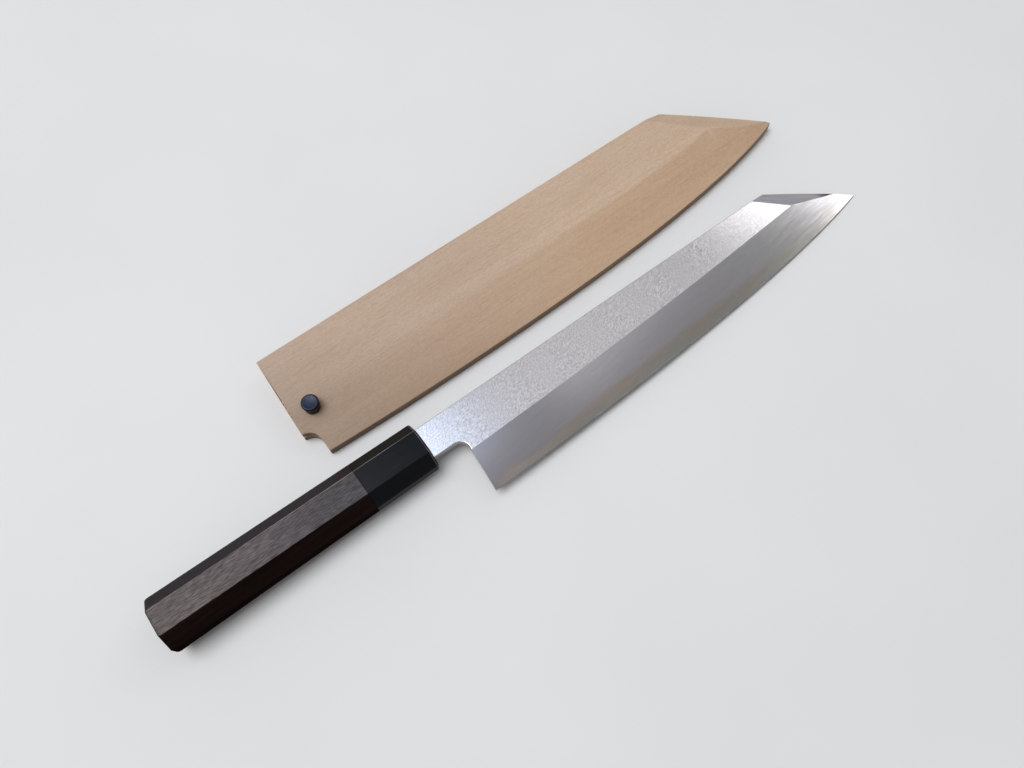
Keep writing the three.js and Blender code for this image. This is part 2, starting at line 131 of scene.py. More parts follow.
HANDLE_LENGTH = 143
FERRULE_LENGTH = 35.5
FRONT_HEIGHT = 26
BUTT_HEIGHT = 27.2
FRONT_THICK = 18.5
BUTT_THICK = 22
BROAD_HALF = 13.3 / 2
FERRULE_ROUND = 1.3
FERRULE_CORNER = 0.55
GRIP_CORNER = 0.6
BUTT_ROUND = 2.1
BUTT_INSET = 0.9
JOINT_EASE = 0.12
JOINT_X = -FERRULE_LENGTH - 0.04
BORE_RADIUS = 7.3
BORE_END = -85.5
SLOT_HALF_HEIGHT = 4.55
SLOT_HALF_THICK = 1.8
FERRULE_WEB = 4
CORNER_STEPS = 5
END_STEPS = 8

# Angles in degrees beyond which an edge stays sharp

BLADE_SHARP = 8
HANDLE_SHARP = 30
BOARD_SHARP = 25
BOARD_NORMALS_SHARP = 28
PIN_SHARP = 40
CUTTER_SHARP = 30


def lerp(a, b, share):
    return a + (b - a) * share


def arch(share):
    return 4 * share * (1 - share)


def flat_z(x):
    return lerp(THICK, POINT_THICK, x / REACH)


def weld_z(x):
    return lerp(STEEL_AT_FERRULE, STEEL_AT_TIP, x / REACH)


def spine_y(x):
    return SPINE_RISE * x / SPINE_LENGTH


def edge_curve(heel, heel_run, heel_angle, tip, tip_run, tip_angle, steps):
    """A Bezier curve with given angles at heel and tip."""
    a, d = np.asarray(heel, float), np.asarray(tip, float)
    b = a + np.array([math.cos(heel_angle), math.sin(heel_angle)]) * heel_run
    c = d - np.array([math.cos(tip_angle), math.sin(tip_angle)]) * tip_run
    t = np.linspace(0, 1, steps + 1)[:, None]
    return (1 - t) ** 3 * a + 3 * (1 - t) ** 2 * t * b + 3 * (1 - t) * t * t * c + t ** 3 * d


def bowed_side(start, tip, bow, steps):
    start, tip = np.asarray(start, float), np.asarray(tip, float)
    along = (tip - start) / np.linalg.norm(tip - start)
    outward = np.array([-along[1], along[0]])
    shares = np.linspace(0, 1, steps + 1)
    return np.array([lerp(start, tip, s) + outward * bow * arch(s) for s in shares])


def point_side(room, end_room, steps):
    start = (SPINE_LENGTH + end_room, SPINE_RISE + room)
    return bowed_side(start, (REACH + end_room, -TIP_DROP - room), POINT_BOW, steps)


def blade_edge(room, end_room, steps):
    return edge_curve(
        (HEEL_X, -HEEL_DROP - room), EDGE_HEEL_RUN, 0,
        (REACH + end_room, -TIP_DROP - room), EDGE_TIP_RUN, EDGE_TIP_ANGLE, steps,
    )


def ridge_y(x):
    share = (x - RIDGE_START_X) / (FACET_RIDGE_X - RIDGE_START_X)
    return -lerp(RIDGE_HEEL_DROP, RIDGE_POINT_DROP, share) - RIDGE_SAG * arch(share)


EDGE = blade_edge(0, 0, EDGE_STEPS)
SIDE = point_side(0, 0, SIDE_STEPS)


def curve_y(curve, x):
    return float(np.interp(x, curve[:, 0], curve[:, 1]))


def edge_y(x):
    return curve_y(EDGE, x)


def side_y(x):
    return curve_y(SIDE, x)


def bevel_z(x, y):
    low, high = edge_y(x), ridge_y(x)
    return EDGE_THICK + (flat_z(x) - EDGE_THICK) * (y - low) / (high - low)


facet_a = Vector((FACET_SPINE_X, spine_y(FACET_SPINE_X), flat_z(FACET_SPINE_X)))
facet_d = Vector((FACET_RIDGE_X, ridge_y(FACET_RIDGE_X), flat_z(FACET_RIDGE_X)))


def facet_z(x, y):
    along = (facet_d - facet_a).normalized()
    outward = Vector((-along.y, along.x)).normalized()
    run = Vector((x - facet_a.x, y - facet_a.y))
    level = Vector((along.x, along.y))
    out = run.dot(outward)
    length = run.dot(level) / level.length
    return facet_a.z + length * along.z / level.length - out * FACET_FALL


def crossing(function, low, high):
    rising = function(high) > function(low)
    for _ in range(CROSSING_STEPS):
        middle = (low + high) / 2
        if (function(middle) > 0) == rising:
            high = middle
        else:
            low = middle
    return (low + high) / 2


# Meshes are collected as faces, whose corners are shared where they coincide

class Shell:
    def __init__(self):
        self.points, self.faces, self.slots = [], [], []
        self.index, self.weights, self.values = {}, {}, {}
        self.creases = set()

    def corner(self, point):
        key = tuple(round(float(c), 5) for c in point)
        if key not in self.index:
            self.index[key] = len(self.points)
            self.points.append(key)
        return self.index[key]

    def face(self, points, slot=0):
        ids = []
        for point in points:
            i = self.corner(point)
            if not ids or ids[-1] != i:
                ids.append(i)
        if len(ids) > 1 and ids[0] == ids[-1]:
            ids.pop()
        if len(ids) > 2:
            self.faces.append(ids)
            self.slots.append(slot)

    def strip(self, first, second, slot=0, loop=False):
        count = len(first)
        for i in range(count if loop else count - 1):
            j = (i + 1) % count
            self.face([first[i], first[j], second[j], second[i]], slot)

    def tube(self, rings, slot=0):
        """Joined rings, closed at both ends."""
        for first, second in zip(rings, rings[1:]):
            self.strip(first, second, slot, loop=True)
        self.face(rings[0], slot)
        self.face(rings[-1], slot)

    def edges(self, points):
        ids = [self.corner(point) for point in points]
        return [(min(a, b), max(a, b)) for a, b in zip(ids, ids[1:])]

    def arris(self, points, weight):
        """Edges that the bevel modifier rounds, by a share of its width."""
        self.weights.update(dict.fromkeys(self.edges(points), weight))

    def crease(self, points):
        self.creases.update(self.edges(points))

    def mark(self, point, value):
        """A value that materials read as the attribute across."""
        self.values[self.corner(point)] = value

    def build(self, name, place, materials, sharp):
        mesh = bpy.data.meshes.new(name)
        mesh.from_pydata([place @ Vector(p) for p in self.points], [], self.faces)
        mesh.polygons.foreach_set("material_index", self.slots)
        mesh.polygons.foreach_set("use_smooth", [True] * len(self.faces))
        for material in materials:
            mesh.materials.append(material)
        shell = bmesh.new()
        shell.from_mesh(mesh)
        bmesh.ops.recalc_face_normals(shell, faces=shell.faces)
        if shell.calc_volume(signed=True) < 0:
            bmesh.ops.reverse_faces(shell, faces=shell.faces)
        layer = shell.edges.layers.float.new("bevel_weight_edge")
        for edge in shell.edges:
            ends = tuple(sorted(vert.index for vert in edge.verts))
            edge[layer] = self.weights.get(ends, 0)
            soft = ends not in self.creases and edge.calc_face_angle(0) < math.radians(sharp)
            edge.smooth = edge[layer] > 0 or soft
        if self.values:
            layer = shell.verts.layers.float.new("across")
            for vert in shell.verts:
                vert[layer] = self.values.get(vert.index, 1)
        shell.to_mesh(mesh)
        shell.free()
        return add_object(name, mesh)


def round_arrises(made, width, segments=3):
    bevel = made.modifiers.new("arrises", "BEVEL")
    bevel.limit_method = "WEIGHT"
    bevel.width = width
    bevel.segments = segments
    bevel.use_clamp_overlap = False
    bevel.harden_normals = True


def even_normals(made, angle):
    made.data.set_sharp_from_angle(angle=math.radians(angle))
    weighted = made.modifiers.new("normals", "WEIGHTED_NORMAL")
    weighted.keep_sharp = True
    weighted.weight = 100


def bake_modifiers(made):
    graph = bpy.context.evaluated_depsgraph_get()
    mesh = bpy.data.meshes.new_from_object(
        made.evaluated_get(graph), preserve_all_data_layers=True, depsgraph=graph
    )
    old = made.data
    made.modifiers.clear()
    made.data = mesh
    bpy.data.meshes.remove(old)
    mesh.name = made.name


def triangulate(made):
    shell = bmesh.new()
    shell.from_mesh(made.data)
    bmesh.ops.triangulate(shell, faces=shell.faces, quad_method="BEAUTY", ngon_method="BEAUTY")
    shell.to_mesh(made.data)
    shell.free()


def carve(made, cutter):
    cut = made.modifiers.new("cut", "BOOLEAN")
    cut.operation = "DIFFERENCE"
    cut.solver = "EXACT"
    cut.object = cutter
    bake_modifiers(made)
    bpy.data.objects.remove(cutter)


def finish_piece(made, body, slot, *nodes):
    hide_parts(*nodes)
    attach(made, body)


def build_even(shell, name, place, look, sharp):
    made = shell.build(name, place, [look], sharp)
    even_normals(made, sharp)
    return made


# Where the knife lies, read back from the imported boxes

FRONT_REST_X = -FERRULE_ROUND
FRONT_REST_Z = -lerp(FRONT_THICK, BUTT_THICK, FERRULE_ROUND / HANDLE_LENGTH) / 2
knife_tilt = math.atan2(-THICK / 2 - FRONT_REST_Z, REACH - FRONT_REST_X)
tip_run = REACH * math.cos(knife_tilt) + (EDGE_THICK - THICK / 2) * math.sin(knife_tilt)
knife_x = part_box("edge_steel")[1].x / MM - tip_run
knife_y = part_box("edge_steel")[0].y / MM + HEEL_DROP - SPINE_ABOVE_AXIS
knife_z = FRONT_REST_X * math.sin(knife_tilt) - FRONT_REST_Z * math.cos(knife_tilt)
KNIFE_PLACE = (
    Matrix.Scale(MM, 4)
    @ Matrix.Translation((knife_x, knife_y, knife_z))
    @ Matrix.Rotation(knife_tilt, 4, "Y")
)
BLADE_PLACE = KNIFE_PLACE @ Matrix.Translation((0, SPINE_ABOVE_AXIS, -THICK / 2))

# Node trees, and materials in the object's own coordinates

class Nodes:
    def __init__(self, tree):
        self.tree = tree

    def node(self, kind, **values):
        made = self.tree.nodes.new(kind)
        for key, value in values.items():
            if key in made.inputs:
                made.inputs[key].default_value = value
            else:
                setattr(made, key, value)
        return made

    def link(self, source, target):
        self.tree.links.new(source, target)

    # A number, a colour or a link into a socket
    def put(self, value, socket):
        if isinstance(value, (int, float)):
            socket.default_value = value
        elif isinstance(value, tuple):
            socket.default_value = (*value, 1)
        else:
            self.link(value, socket)

    def part(self, vector, axis):
        split = self.node("ShaderNodeSeparateXYZ")
        self.link(vector, split.inputs["Vector"])
        return split.outputs[axis]

    def math(self, operation, first, second):
        made = self.node("ShaderNodeMath", operation=operation)
        for value, socket in zip((first, second), made.inputs):
            self.put(value, socket)
        return made.outputs[0]

    def product(self, first, second):
        return self.math("MULTIPLY", first, second)

    def sum(self, first, first_share, second, second_share):
        first = self.product(first, first_share)
        return self.math("ADD", first, self.product(second, second_share))

    # From one value to another while the input goes from low to high
    def band(self, value, low, high, to_low=0, to_high=1, kind="SMOOTHSTEP"):
        made = self.node("ShaderNodeMapRange", interpolation_type=kind)
        names = ("Value", "From Min", "From Max", "To Min", "To Max")
        for name, number in zip(names, (value, low, high, to_low, to_high)):
            self.put(number, made.inputs[name])
        return made.outputs["Result"]


class Look(Nodes):
    def __init__(self, name):
        self.material = bpy.data.materials.new(name)
        self.material.use_nodes = True
        super().__init__(self.material.node_tree)
        self.shader = self.tree.nodes["Principled BSDF"]
        self.place = self.node("ShaderNodeTexCoord").outputs["Object"]

    def set(self, **values):
        for key, value in values.items():
            self.shader.inputs[key.replace("_", " ")].default_value = value

    def feed(self, name, source):
        self.link(source, self.shader.inputs[name])

    # Coordinates in millimetres, turned about Z and stretched by the sizes of a feature
    def grid(self, sizes, turn=0):
        mapping = self.node("ShaderNodeMapping", vector_type="TEXTURE")
        self.link(self.place, mapping.inputs["Vector"])
        mapping.inputs["Rotation"].default_value = (0, 0, math.radians(turn))
        mapping.inputs["Scale"].default_value = [size * MM for size in sizes]
        return mapping.outputs["Vector"]

    def noise(self, sizes, turn=0, detail=2, rough=0.5, bend=0):
        made = self.node(
            "ShaderNodeTexNoise", Scale=1, Detail=detail, Roughness=rough, Distortion=bend
        )
        self.link(self.grid(sizes, turn), made.inputs["Vector"])
        return made.outputs["Fac"]

    # One axis of the object's coordinates in millimetres
    def axis(self, name):
        return self.part(self.grid((1, 1, 1)), name)

    # How far a face looks along one axis, from -1 to 1
    def facing(self, axis):
        return self.part(self.place.node.outputs["Normal"], axis)

    def attribute(self, name):
        return self.node("ShaderNodeAttribute", attribute_name=name).outputs["Fac"]

    def ramp(self, value, stops):
        made = self.node("ShaderNodeValToRGB")
        self.link(value, made.inputs["Fac"])
        elements = made.color_ramp.elements
        while len(elements) < len(stops):
            elements.new(1)
        for element, (position, colour) in zip(elements, stops):
            element.position = position
            element.color = (*colour, 1)
        return made.outputs["Color"]

    # From one colour to another while the value goes from low to high
    def fade(self, value, low, high, first, second):
        return self.ramp(self.band(value, low, high), [(0, first), (1, second)])

    # Inputs 0, 6 and 7 are the share and the two colours
    def mix(self, share, first, second, blend="MIX"):
        made = self.node("ShaderNodeMix", data_type="RGBA", blend_type=blend)
        for value, i in zip((share, first, second), (0, 6, 7)):
            self.put(value, made.inputs[i])
        return made.outputs[2]

    def times(self, first, second):
        return self.mix(1, first, second, "MULTIPLY")

    # Colour, roughness and a relief of a depth in millimetres
    def finish(self, colour, rough, relief, depth, metal=0):
        self.feed("Base Color", colour)
        self.feed("Roughness", rough)
        self.set(Metallic=metal)
        bump = self.node("ShaderNodeBump", Strength=1, Distance=depth * MM)
        self.link(relief, bump.inputs["Height"])
        self.feed("Normal", bump.outputs["Normal"])
        return self.material


def steel_flat():
    look = Look("satin_iron")
    streaks = look.noise((1.5, 0.34, 1), turn=24, detail=1)
    specks = look.noise((0.55, 0.36, 1), turn=24, detail=0)
    blush = look.noise((4, 2, 2), turn=22, detail=1)
    tone = look.sum(streaks, 0.62, specks, 0.38)
    depth = look.band(look.axis("X"), 115, 180, 1, 0.55)
    tone = look.math("ADD", look.product(look.math("SUBTRACT", tone, 0.5), depth), 0.5)
    colour = look.ramp(tone, [
        (0.36, (0.55, 0.533, 0.55)), (0.50, (0.685, 0.668, 0.685)), (0.64, (0.82, 0.803, 0.82)),
    ])
    tint = look.ramp(blush, [(0.35, (1, 0.985, 0.985)), (0.65, (0.985, 0.99, 1))])
    rough = look.band(tone, 0.25, 0.75, 0.19, 0.225)
    return look.finish(look.times(colour, tint), rough, tone, 0.004, metal=1)


# Where the weld's warm line dips near the heel: start and end along X in mm, shift at each
HEEL_FADES = ((-60, -42, 0.28, 0), (-46, -29, 0.05, 0.15), (-29, 20, 0, -0.15))
# The bevel's colours from the edge, 0, to the ridge, 1
WARM_TONES = [
    (0, (0.65, 0.61, 0.56)), (0.05, (0.61, 0.56, 0.48)), (0.15, (0.605, 0.54, 0.455)),
    (0.225, (0.615, 0.52, 0.465)), (0.29, (0.62, 0.555, 0.53)), (0.36, (0.615, 0.59, 0.62)),
    (1, (0.633, 0.614, 0.648)),
]
COOL_TONES = [
    (0, (0.66, 0.655, 0.64)), (0.05, (0.58, 0.575, 0.54)), (0.15, (0.565, 0.56, 0.52)),
    (0.225, (0.61, 0.54, 0.49)), (0.29, (0.61, 0.555, 0.545)), (0.36, (0.615, 0.595, 0.625)),
    (1, (0.633, 0.614, 0.648)),
]
PALE_TONES = [
    (0, (0.66, 0.655, 0.65)), (0.10, (0.645, 0.645, 0.61)), (0.20, (0.64, 0.63, 0.58)),
    (0.28, (0.61, 0.60, 0.605)), (1, (0.605, 0.597, 0.61)),
]
ROSY_TONES = [
    (0, (0.64, 0.61, 0.61)), (0.10, (0.615, 0.585, 0.575)), (0.20, (0.61, 0.58, 0.565)),
    (0.28, (0.60, 0.585, 0.59)), (1, (0.605, 0.597, 0.61)),
]


def weld_tones(look):
    """Colours across the bevel, which change along the blade."""
    wave = look.math("SUBTRACT", look.noise((14, 3, 3), detail=3, rough=0.6), 0.5)
    fine = look.math("SUBTRACT", look.noise((3, 1.2, 1.2)), 0.5)
    shift = look.sum(wave, 0.14, fine, 0.03)
    length = look.axis("X")
    for start, end, low, high in HEEL_FADES:
        shift = look.math("ADD", shift, look.band(length, start, end, low, high))
    level = look.math("ADD", look.attribute("across"), shift)
    colour = look.ramp(level, WARM_TONES)
    for share, tones in (
        (look.band(look.noise((38, 60, 60), detail=1), 0.42, 0.62), COOL_TONES),
        (look.band(length, 100, 155), PALE_TONES),
        (look.band(length, 155, 185), ROSY_TONES),
    ):
        colour = look.mix(share, colour, look.ramp(level, tones))
    near = look.product(look.band(length, -30, 10, 1, 0), look.band(level, 0.22, 0.38, 1, 0))
    colour = look.mix(near, colour, (0.70, 0.645, 0.59))
    return look.times(colour, look.fade(length, -58, 0, (1, 0.955, 0.92), (1, 1, 1)))


def steel_bevel(name, low_rough, high_rough):
    look = Look(name)
    colour = weld_tones(look)
    haze = look.noise((14, 1.5, 1.5), turn=6, detail=3)
    hair = look.noise((12, 0.16, 1), turn=1.5)
    shade = look.ramp(haze, [(0.3, (0.96, 0.96, 0.965)), (0.7, (1.01, 1.01, 1.01))])
    streaked = look.ramp(haze, [(0.35, (0.905, 0.90, 0.90)), (0.65, (1.05, 1.05, 1.055))])
    shade = look.mix(look.band(look.axis("X"), 120, 180), shade, streaked)
    rough = look.band(hair, 0.2, 0.8, low_rough, high_rough)
    return look.finish(look.times(colour, shade), rough, hair, 0.0007, metal=1)


def steel_facet():
    look = Look("point_facet_iron")
    hair = look.noise((16, 0.5, 1), turn=-33.5, detail=3)
    wide = look.noise((26, 2.2, 2), turn=-33.5, detail=1)
    tone = look.sum(hair, 0.5, wide, 0.5)
    colour = look.ramp(tone, [(0.3, (0.69, 0.68, 0.745)), (0.7, (0.82, 0.81, 0.865))])
    # Painted reflection: the facet's end towards the point is painted dark, as a reflection of
    # dark surroundings
    end = look.fade(look.axis("X"), 193, 200, (1, 1, 1), (0.30, 0.30, 0.31))
    rough = look.band(hair, 0.2, 0.8, 0.125, 0.15)
    return look.finish(look.times(colour, end), rough, hair, 0.0012, metal=1)


def steel_wall(name, base, rough):
    look = Look(name)
    hair = look.noise((5, 5, 0.22), detail=3)
    spots = look.noise((0.9, 0.9, 0.9), detail=3)
    dark = tuple(0.78 * c for c in base)
    tone = look.sum(hair, 0.7, spots, 0.3)
    colour = look.ramp(tone, [(0.3, dark), (0.65, base)])
    rough = look.band(hair, 0.2, 0.8, rough - 0.05, rough + 0.07)
    return look.finish(colour, rough, hair, 0.002, metal=1)


def steel_back():
    look = Look("hollow_back_steel")
    rings = look.noise((2.5, 24, 2), detail=3)
    haze = look.noise((30, 12, 9))
    colour = look.ramp(haze, [(0.3, (0.58, 0.575, 0.57)), (0.7, (0.64, 0.635, 0.63))])
    rough = look.band(rings, 0.2, 0.8, 0.2, 0.3)
    return look.finish(colour, rough, rings, 0.001, metal=1)


def horn():
    look = Look("black_horn")
    fibre = look.noise((34, 1.1, 1.1), detail=4, rough=0.6)
    cloud = look.noise((14, 5, 5))
    streak = look.product(look.band(fibre, 0.52, 0.78), look.band(cloud, 0.4, 0.7))
    ground = look.mix(streak, (0.0065, 0.007, 0.0085), (0.026, 0.021, 0.018))
    # Painted highlight: pale colour along the rounded arrises, strongest where the mark across is
    # low
    arris = look.band(look.attribute("across"), 0.1, 0.7, 1, 0)
    painted_highlight = look.product(arris, look.band(cloud, 0.25, 0.5, 0.5, 1))
    colour = look.mix(painted_highlight, ground, (0.36, 0.365, 0.38))
    scratch = look.noise((6, 0.25, 0.25), turn=4)
    look.set(IOR=1.54)
    look.feed("Specular IOR Level", look.band(look.facing("Z"), 0, 0.9, 0.02, 0.075))
    return look.finish(colour, look.band(fibre, 0.3, 0.7, 0.16, 0.26), scratch, 0.002)


def dark_wood():
    look = Look("dark_pored_wood")
    rings = look.noise((120, 3.2, 4.2), detail=3, bend=0.4)
    fibre = look.noise((8, 0.17, 0.17), turn=1, detail=0)
    pores = look.noise((5, 0.15, 0.15), turn=-1, detail=0)
    cloud = look.noise((17, 6, 6))
    ground = look.ramp(rings, [
        (0.28, (0.0065, 0.0038, 0.0035)), (0.5, (0.0108, 0.0062, 0.0056)),
        (0.72, (0.017, 0.0100, 0.0088)),
    ])
    facing, sideways = look.facing("Z"), look.facing("Y")
    length = look.axis("X")
    # Painted sheen: the top facet is painted lighter and greyer, in a fibre pattern, for the light
    # it reflects; lighter and warm towards the butt, darker and cooler towards the front
    painted_highlight_mark = look.band(facing, 0.76, 0.97)
    painted_sheen_pattern = look.product(look.band(fibre, 0.30, 0.70), look.band(cloud, 0.3, 0.72, 0.7, 1))
    painted_highlight = look.ramp(look.band(length, -205, -112), [
        (0, (0.205, 0.170, 0.155)), (0.5, (0.180, 0.155, 0.156)), (1, (0.102, 0.100, 0.110)),
    ])
    ground = look.mix(look.product(painted_sheen_pattern, painted_highlight_mark), ground, painted_highlight)
    # Painted reflection: the far facet is painted purplish for the light it reflects at a glancing
    # angle, and its gloss is lowered there to match
    painted_far_sheen = look.band(sideways, 0.45, 0.65)
    ground = look.mix(painted_far_sheen, ground, (0.026, 0.019, 0.0215))
    # Along the far upper arris: a painted highlight in the front half, fading to a dark line
    # towards the butt
    arris = look.product(look.band(sideways, 0.08, 0.2), look.band(facing, 0.86, 0.93))
    line = look.fade(length, -180, -145, (0.003, 0.002, 0.002), (0.36, 0.31, 0.27))
    ground = look.mix(arris, ground, line)
    open_pore = look.band(pores, 0.54, 0.63)
    pored = look.mix(look.product(open_pore, 0.4), ground, (0.006, 0.004, 0.0035))
    lit = look.math("ADD", facing, look.product(sideways, 0.2))
    gloss = look.product(look.band(lit, 0.57, 1.08, 0, 0.48), look.band(painted_far_sheen, 0, 1, 1, 0.15))
    look.feed("Specular IOR Level", gloss)
    look.set(Specular_Tint=(1, 0.9, 0.93, 1))
    relief = look.math("SUBTRACT", look.product(fibre, 0.3), open_pore)
    return look.finish(pored, look.band(fibre, 0.3, 0.75, 0.40, 0.54), relief, 0.03)


PALE_BANDS = (
    (0.32, (0.545, 0.402, 0.291)), (0.50, (0.567, 0.421, 0.308)), (0.68, (0.584, 0.437, 0.322)),
)


def pale_wood(name, turn, bright):
    look = Look(name)
    bands = look.noise((420, 8, 8), turn)
    lines = look.noise((60, 0.7, 0.7), turn, detail=3, rough=0.65)
    fibre = look.noise((30, 0.42, 0.42), turn, rough=0.6)
    fleck = look.noise((1.7, 0.65, 0.65), turn, detail=1)
    pore = look.noise((9, 0.42, 0.42), turn, detail=0)
    cloud = look.noise((50, 15, 15))
    colour = look.ramp(bands, [(at, tuple(bright * c for c in tone)) for at, tone in PALE_BANDS])
    for value, stops in (
        (lines, [(0.30, (0.93, 0.915, 0.90)), (0.44, (0.98, 0.975, 0.97)), (0.56, (1, 1, 1))]),
        (fibre, [(0.32, (0.955, 0.95, 0.945)), (0.60, (1, 1, 1))]),
        (fleck, [(0.36, (0.91, 0.90, 0.89)), (0.62, (1, 1, 1))]),
        (pore, [(0.26, (0.91, 0.895, 0.88)), (0.40, (1, 1, 1))]),
        (cloud, [(0.32, (0.985, 0.968, 0.95)), (0.68, (1, 1, 1))]),
    ):
        colour = look.times(colour, look.ramp(value, stops))
    facing, length = look.facing("Z"), look.axis("X")
    # Painted shade by the face's tilt: the slope darker and warmer, the point facet greyer partly
    # from its end grain; towards the mouth this fades into an even, slight painted shade
    lean = look.ramp(look.band(facing, 0.93, 1), [
        (0.06, (0.91, 0.90, 0.87)), (0.22, (0.935, 0.87, 0.785)),
        (0.80, (0.935, 0.87, 0.785)), (0.98, (1, 1, 1)),
    ])
    lean = look.mix(look.band(length, -110, 0), (0.985, 0.98, 0.975), lean)
    # Painted shade on the side walls and a painted highlight on the rounded arrises between them
    # and the top; the mouth's end face is kept pale instead
    side = look.ramp(look.band(facing, 0.1, 0.95), [
        (0, (0.40, 0.305, 0.20)), (0.4, (1, 0.98, 0.95)),
        (0.7, (1.3, 1.3, 1.3)), (0.97, (1, 1, 1)),
    ])
    side = look.mix(look.band(look.facing("X"), -0.97, -0.85, 1, 0), side, (1.1, 1.1, 1.14))
    # Painted shade, growing towards the mouth's low corner
    slant = look.sum(length, 0.5, look.axis("Y"), 0.85)
    corner = look.fade(slant, -48, 18, (0.685, 0.645, 0.605), (0.955, 0.945, 0.96))
    # Painted light, growing towards the far end
    far = look.fade(length, -20, 70, (1, 1, 1), (1.12, 1.12, 1.08))
    # Painted bluish light at the mouth end
    mouth = look.fade(length, -118, -85, (1.03, 1.06, 1.11), (1, 1, 1))
    for tone in (lean, side, corner, far, mouth):
        colour = look.times(colour, tone)
    relief = look.sum(lines, 0.6, fibre, 0.4)
    return look.finish(colour, look.band(fibre, 0.3, 0.75, 0.50, 0.62), relief, 0.015)


def pin_wood():
    look = Look("black_pin_wood")
    fibre = look.noise((0.4, 0.4, 9), detail=3)
    ring = look.noise((2.2, 2.2, 30))
    # Painted reflection: the flat top is painted blue for the sky it reflects, while the rounded
    # rim and the sides keep the near-black wood
    top = look.band(look.facing("Z"), 0.93, 0.985)
    colour = look.mix(look.band(fibre, 0.45, 0.75), (0.006, 0.013, 0.042), (0.010, 0.021, 0.062))
    colour = look.mix(top, (0.005, 0.005, 0.006), colour)
    look.feed("Specular IOR Level", look.band(top, 0, 1, 0.12, 0.30))
    return look.finish(colour, look.band(ring, 0.3, 0.7, 0.28, 0.42), fibre, 0.012)


def resin():
    look = Look("bedding_resin")
    cloud = look.noise((6, 4, 4), detail=3)
    bubble = look.noise((0.8, 0.8, 0.8), detail=1)
    colour = look.ramp(cloud, [(0.3, (0.20, 0.13, 0.05)), (0.7, (0.32, 0.22, 0.09))])
    return look.finish(colour, look.band(bubble, 0.35, 0.7, 0.25, 0.45), bubble, 0.02)


# Blade: lines that the iron and the steel share, with the fine second bevel at the edge

KOBA = 0.55
KOBA_Z = 0.12
KOBA_MOST = 0.4
KOBA_FADE = 3 * KOBA
POINT_STEPS = 28
CHOIL_STEPS = 16
SPINE_STEPS = 24
STATION_GAP = 0.4
SAME_PLACE = 0.01
TIP_BETWEEN = (255, 283)


def bevel_top(x):
    """The upper end of the bevel's line across the blade at x."""
    if x <= RIDGE_START_X:
        y = -CHOIL_DROP - (HEEL_TOP_X - x) / HEEL_LEAN * (HEEL_DROP - CHOIL_DROP)
        return (x, y, bevel_z(x, y))
    if x <= FACET_RIDGE_X:
        return (x, ridge_y(x), flat_z(x))
    if x <= FACET_TIP_X:
        low, high = edge_y(x), side_y(x)
        gap_low = bevel_z(x, low) - facet_z(x, low)
        gap_high = bevel_z(x, high) - facet_z(x, high)
        y = low - gap_low * (high - low) / (gap_high - gap_low)
        return (x, y, facet_z(x, y))
    return (x, side_y(x), bevel_z(x, side_y(x)))


FACET_TIP_X = crossing(
    lambda x: facet_z(x, side_y(x)) - bevel_z(x, side_y(x)), *TIP_BETWEEN,
)
HEEL_WELD_X, POINT_WELD_X = (
    crossing(lambda x: bevel_top(x)[2] - weld_z(x), low, high)
    for low, high in ((HEEL_X, RIDGE_START_X), (FACET_TIP_X, REACH - SAME_PLACE))
)


def stations(fixed, free, gap):
    """The fixed stations and the free ones that are not too near to them."""
    return sorted(fixed + [x for x in free if min(abs(x - f) for f in fixed) > gap])


TURNS = [HEEL_WELD_X, RIDGE_START_X, FACET_RIDGE_X, FACET_TIP_X, POINT_WELD_X]
STATIONS = stations([HEEL_X, *TURNS, REACH], EDGE[:, 0], STATION_GAP)
FIRST_WELD, RIDGE_FIRST, RIDGE_LAST, FACET_LAST, LAST_WELD = map(STATIONS.index, TURNS)
TOPS = [bevel_top(x) for x in STATIONS]
WELDS, KOBA_TOPS, EDGE_TOPS, EDGE_LOWS = [], [], [], []
for x, top in zip(STATIONS, TOPS):
    low = edge_y(x)
    room = top[1] - low
    inside = min(KOBA, KOBA_MOST * room)
    y = low + (weld_z(x) - EDGE_THICK) / (flat_z(x) - EDGE_THICK) * (ridge_y(x) - low)
    WELDS.append((x, y, weld_z(x)) if HEEL_WELD_X < x < POINT_WELD_X else top)
    KOBA_TOPS.append((x, low + inside, bevel_z(x, low + inside)))
    EDGE_TOPS.append((x, low, lerp(EDGE_THICK, KOBA_Z, min(1, room / KOBA_FADE))))
    EDGE_LOWS.append((x, low, 0))
WELD_LINE = WELDS[FIRST_WELD:LAST_WELD + 1]

CHOIL = []
for turn in np.linspace(0, math.pi / 2, CHOIL_STEPS + 1):
    x = HEEL_TOP_X - CHOIL_RADIUS + CHOIL_RADIUS * math.cos(turn)
    y = -CHOIL_DROP + CHOIL_RADIUS * math.sin(turn)
    CHOIL.append((x, y, flat_z(x)))
NECK = [(NECK_X, -NECK_DROP, flat_z(NECK_X)), (NECK_X, spine_y(NECK_X), flat_z(NECK_X))]
SPINE = [(x, spine_y(x), flat_z(x)) for x in np.linspace(NECK_X, FACET_SPINE_X, SPINE_STEPS)[1:]]
SPINE_END = (SPINE_LENGTH, SPINE_RISE, facet_z(SPINE_LENGTH, SPINE_RISE))
POINT = [
    (x, side_y(x), facet_z(x, side_y(x)))
    for x in np.linspace(SPINE_LENGTH, FACET_TIP_X, POINT_STEPS)[1:-1]
]
ROUND_THE_BACK = [*TOPS[FIRST_WELD:RIDGE_FIRST + 1], *CHOIL, *NECK, *SPINE, SPINE_END, *POINT]
ROUND_THE_BACK += TOPS[FACET_LAST:LAST_WELD + 1]


def at_height(points, height):
    return [(x, y, height(x)) for x, y, _ in points]


def mark_across(shell, points):
    for x, y, z in points:
        low = edge_y(x)
        shell.mark((x, y, z), (y - low) / (ridge_y(x) - low))


# Blade: the soft iron body

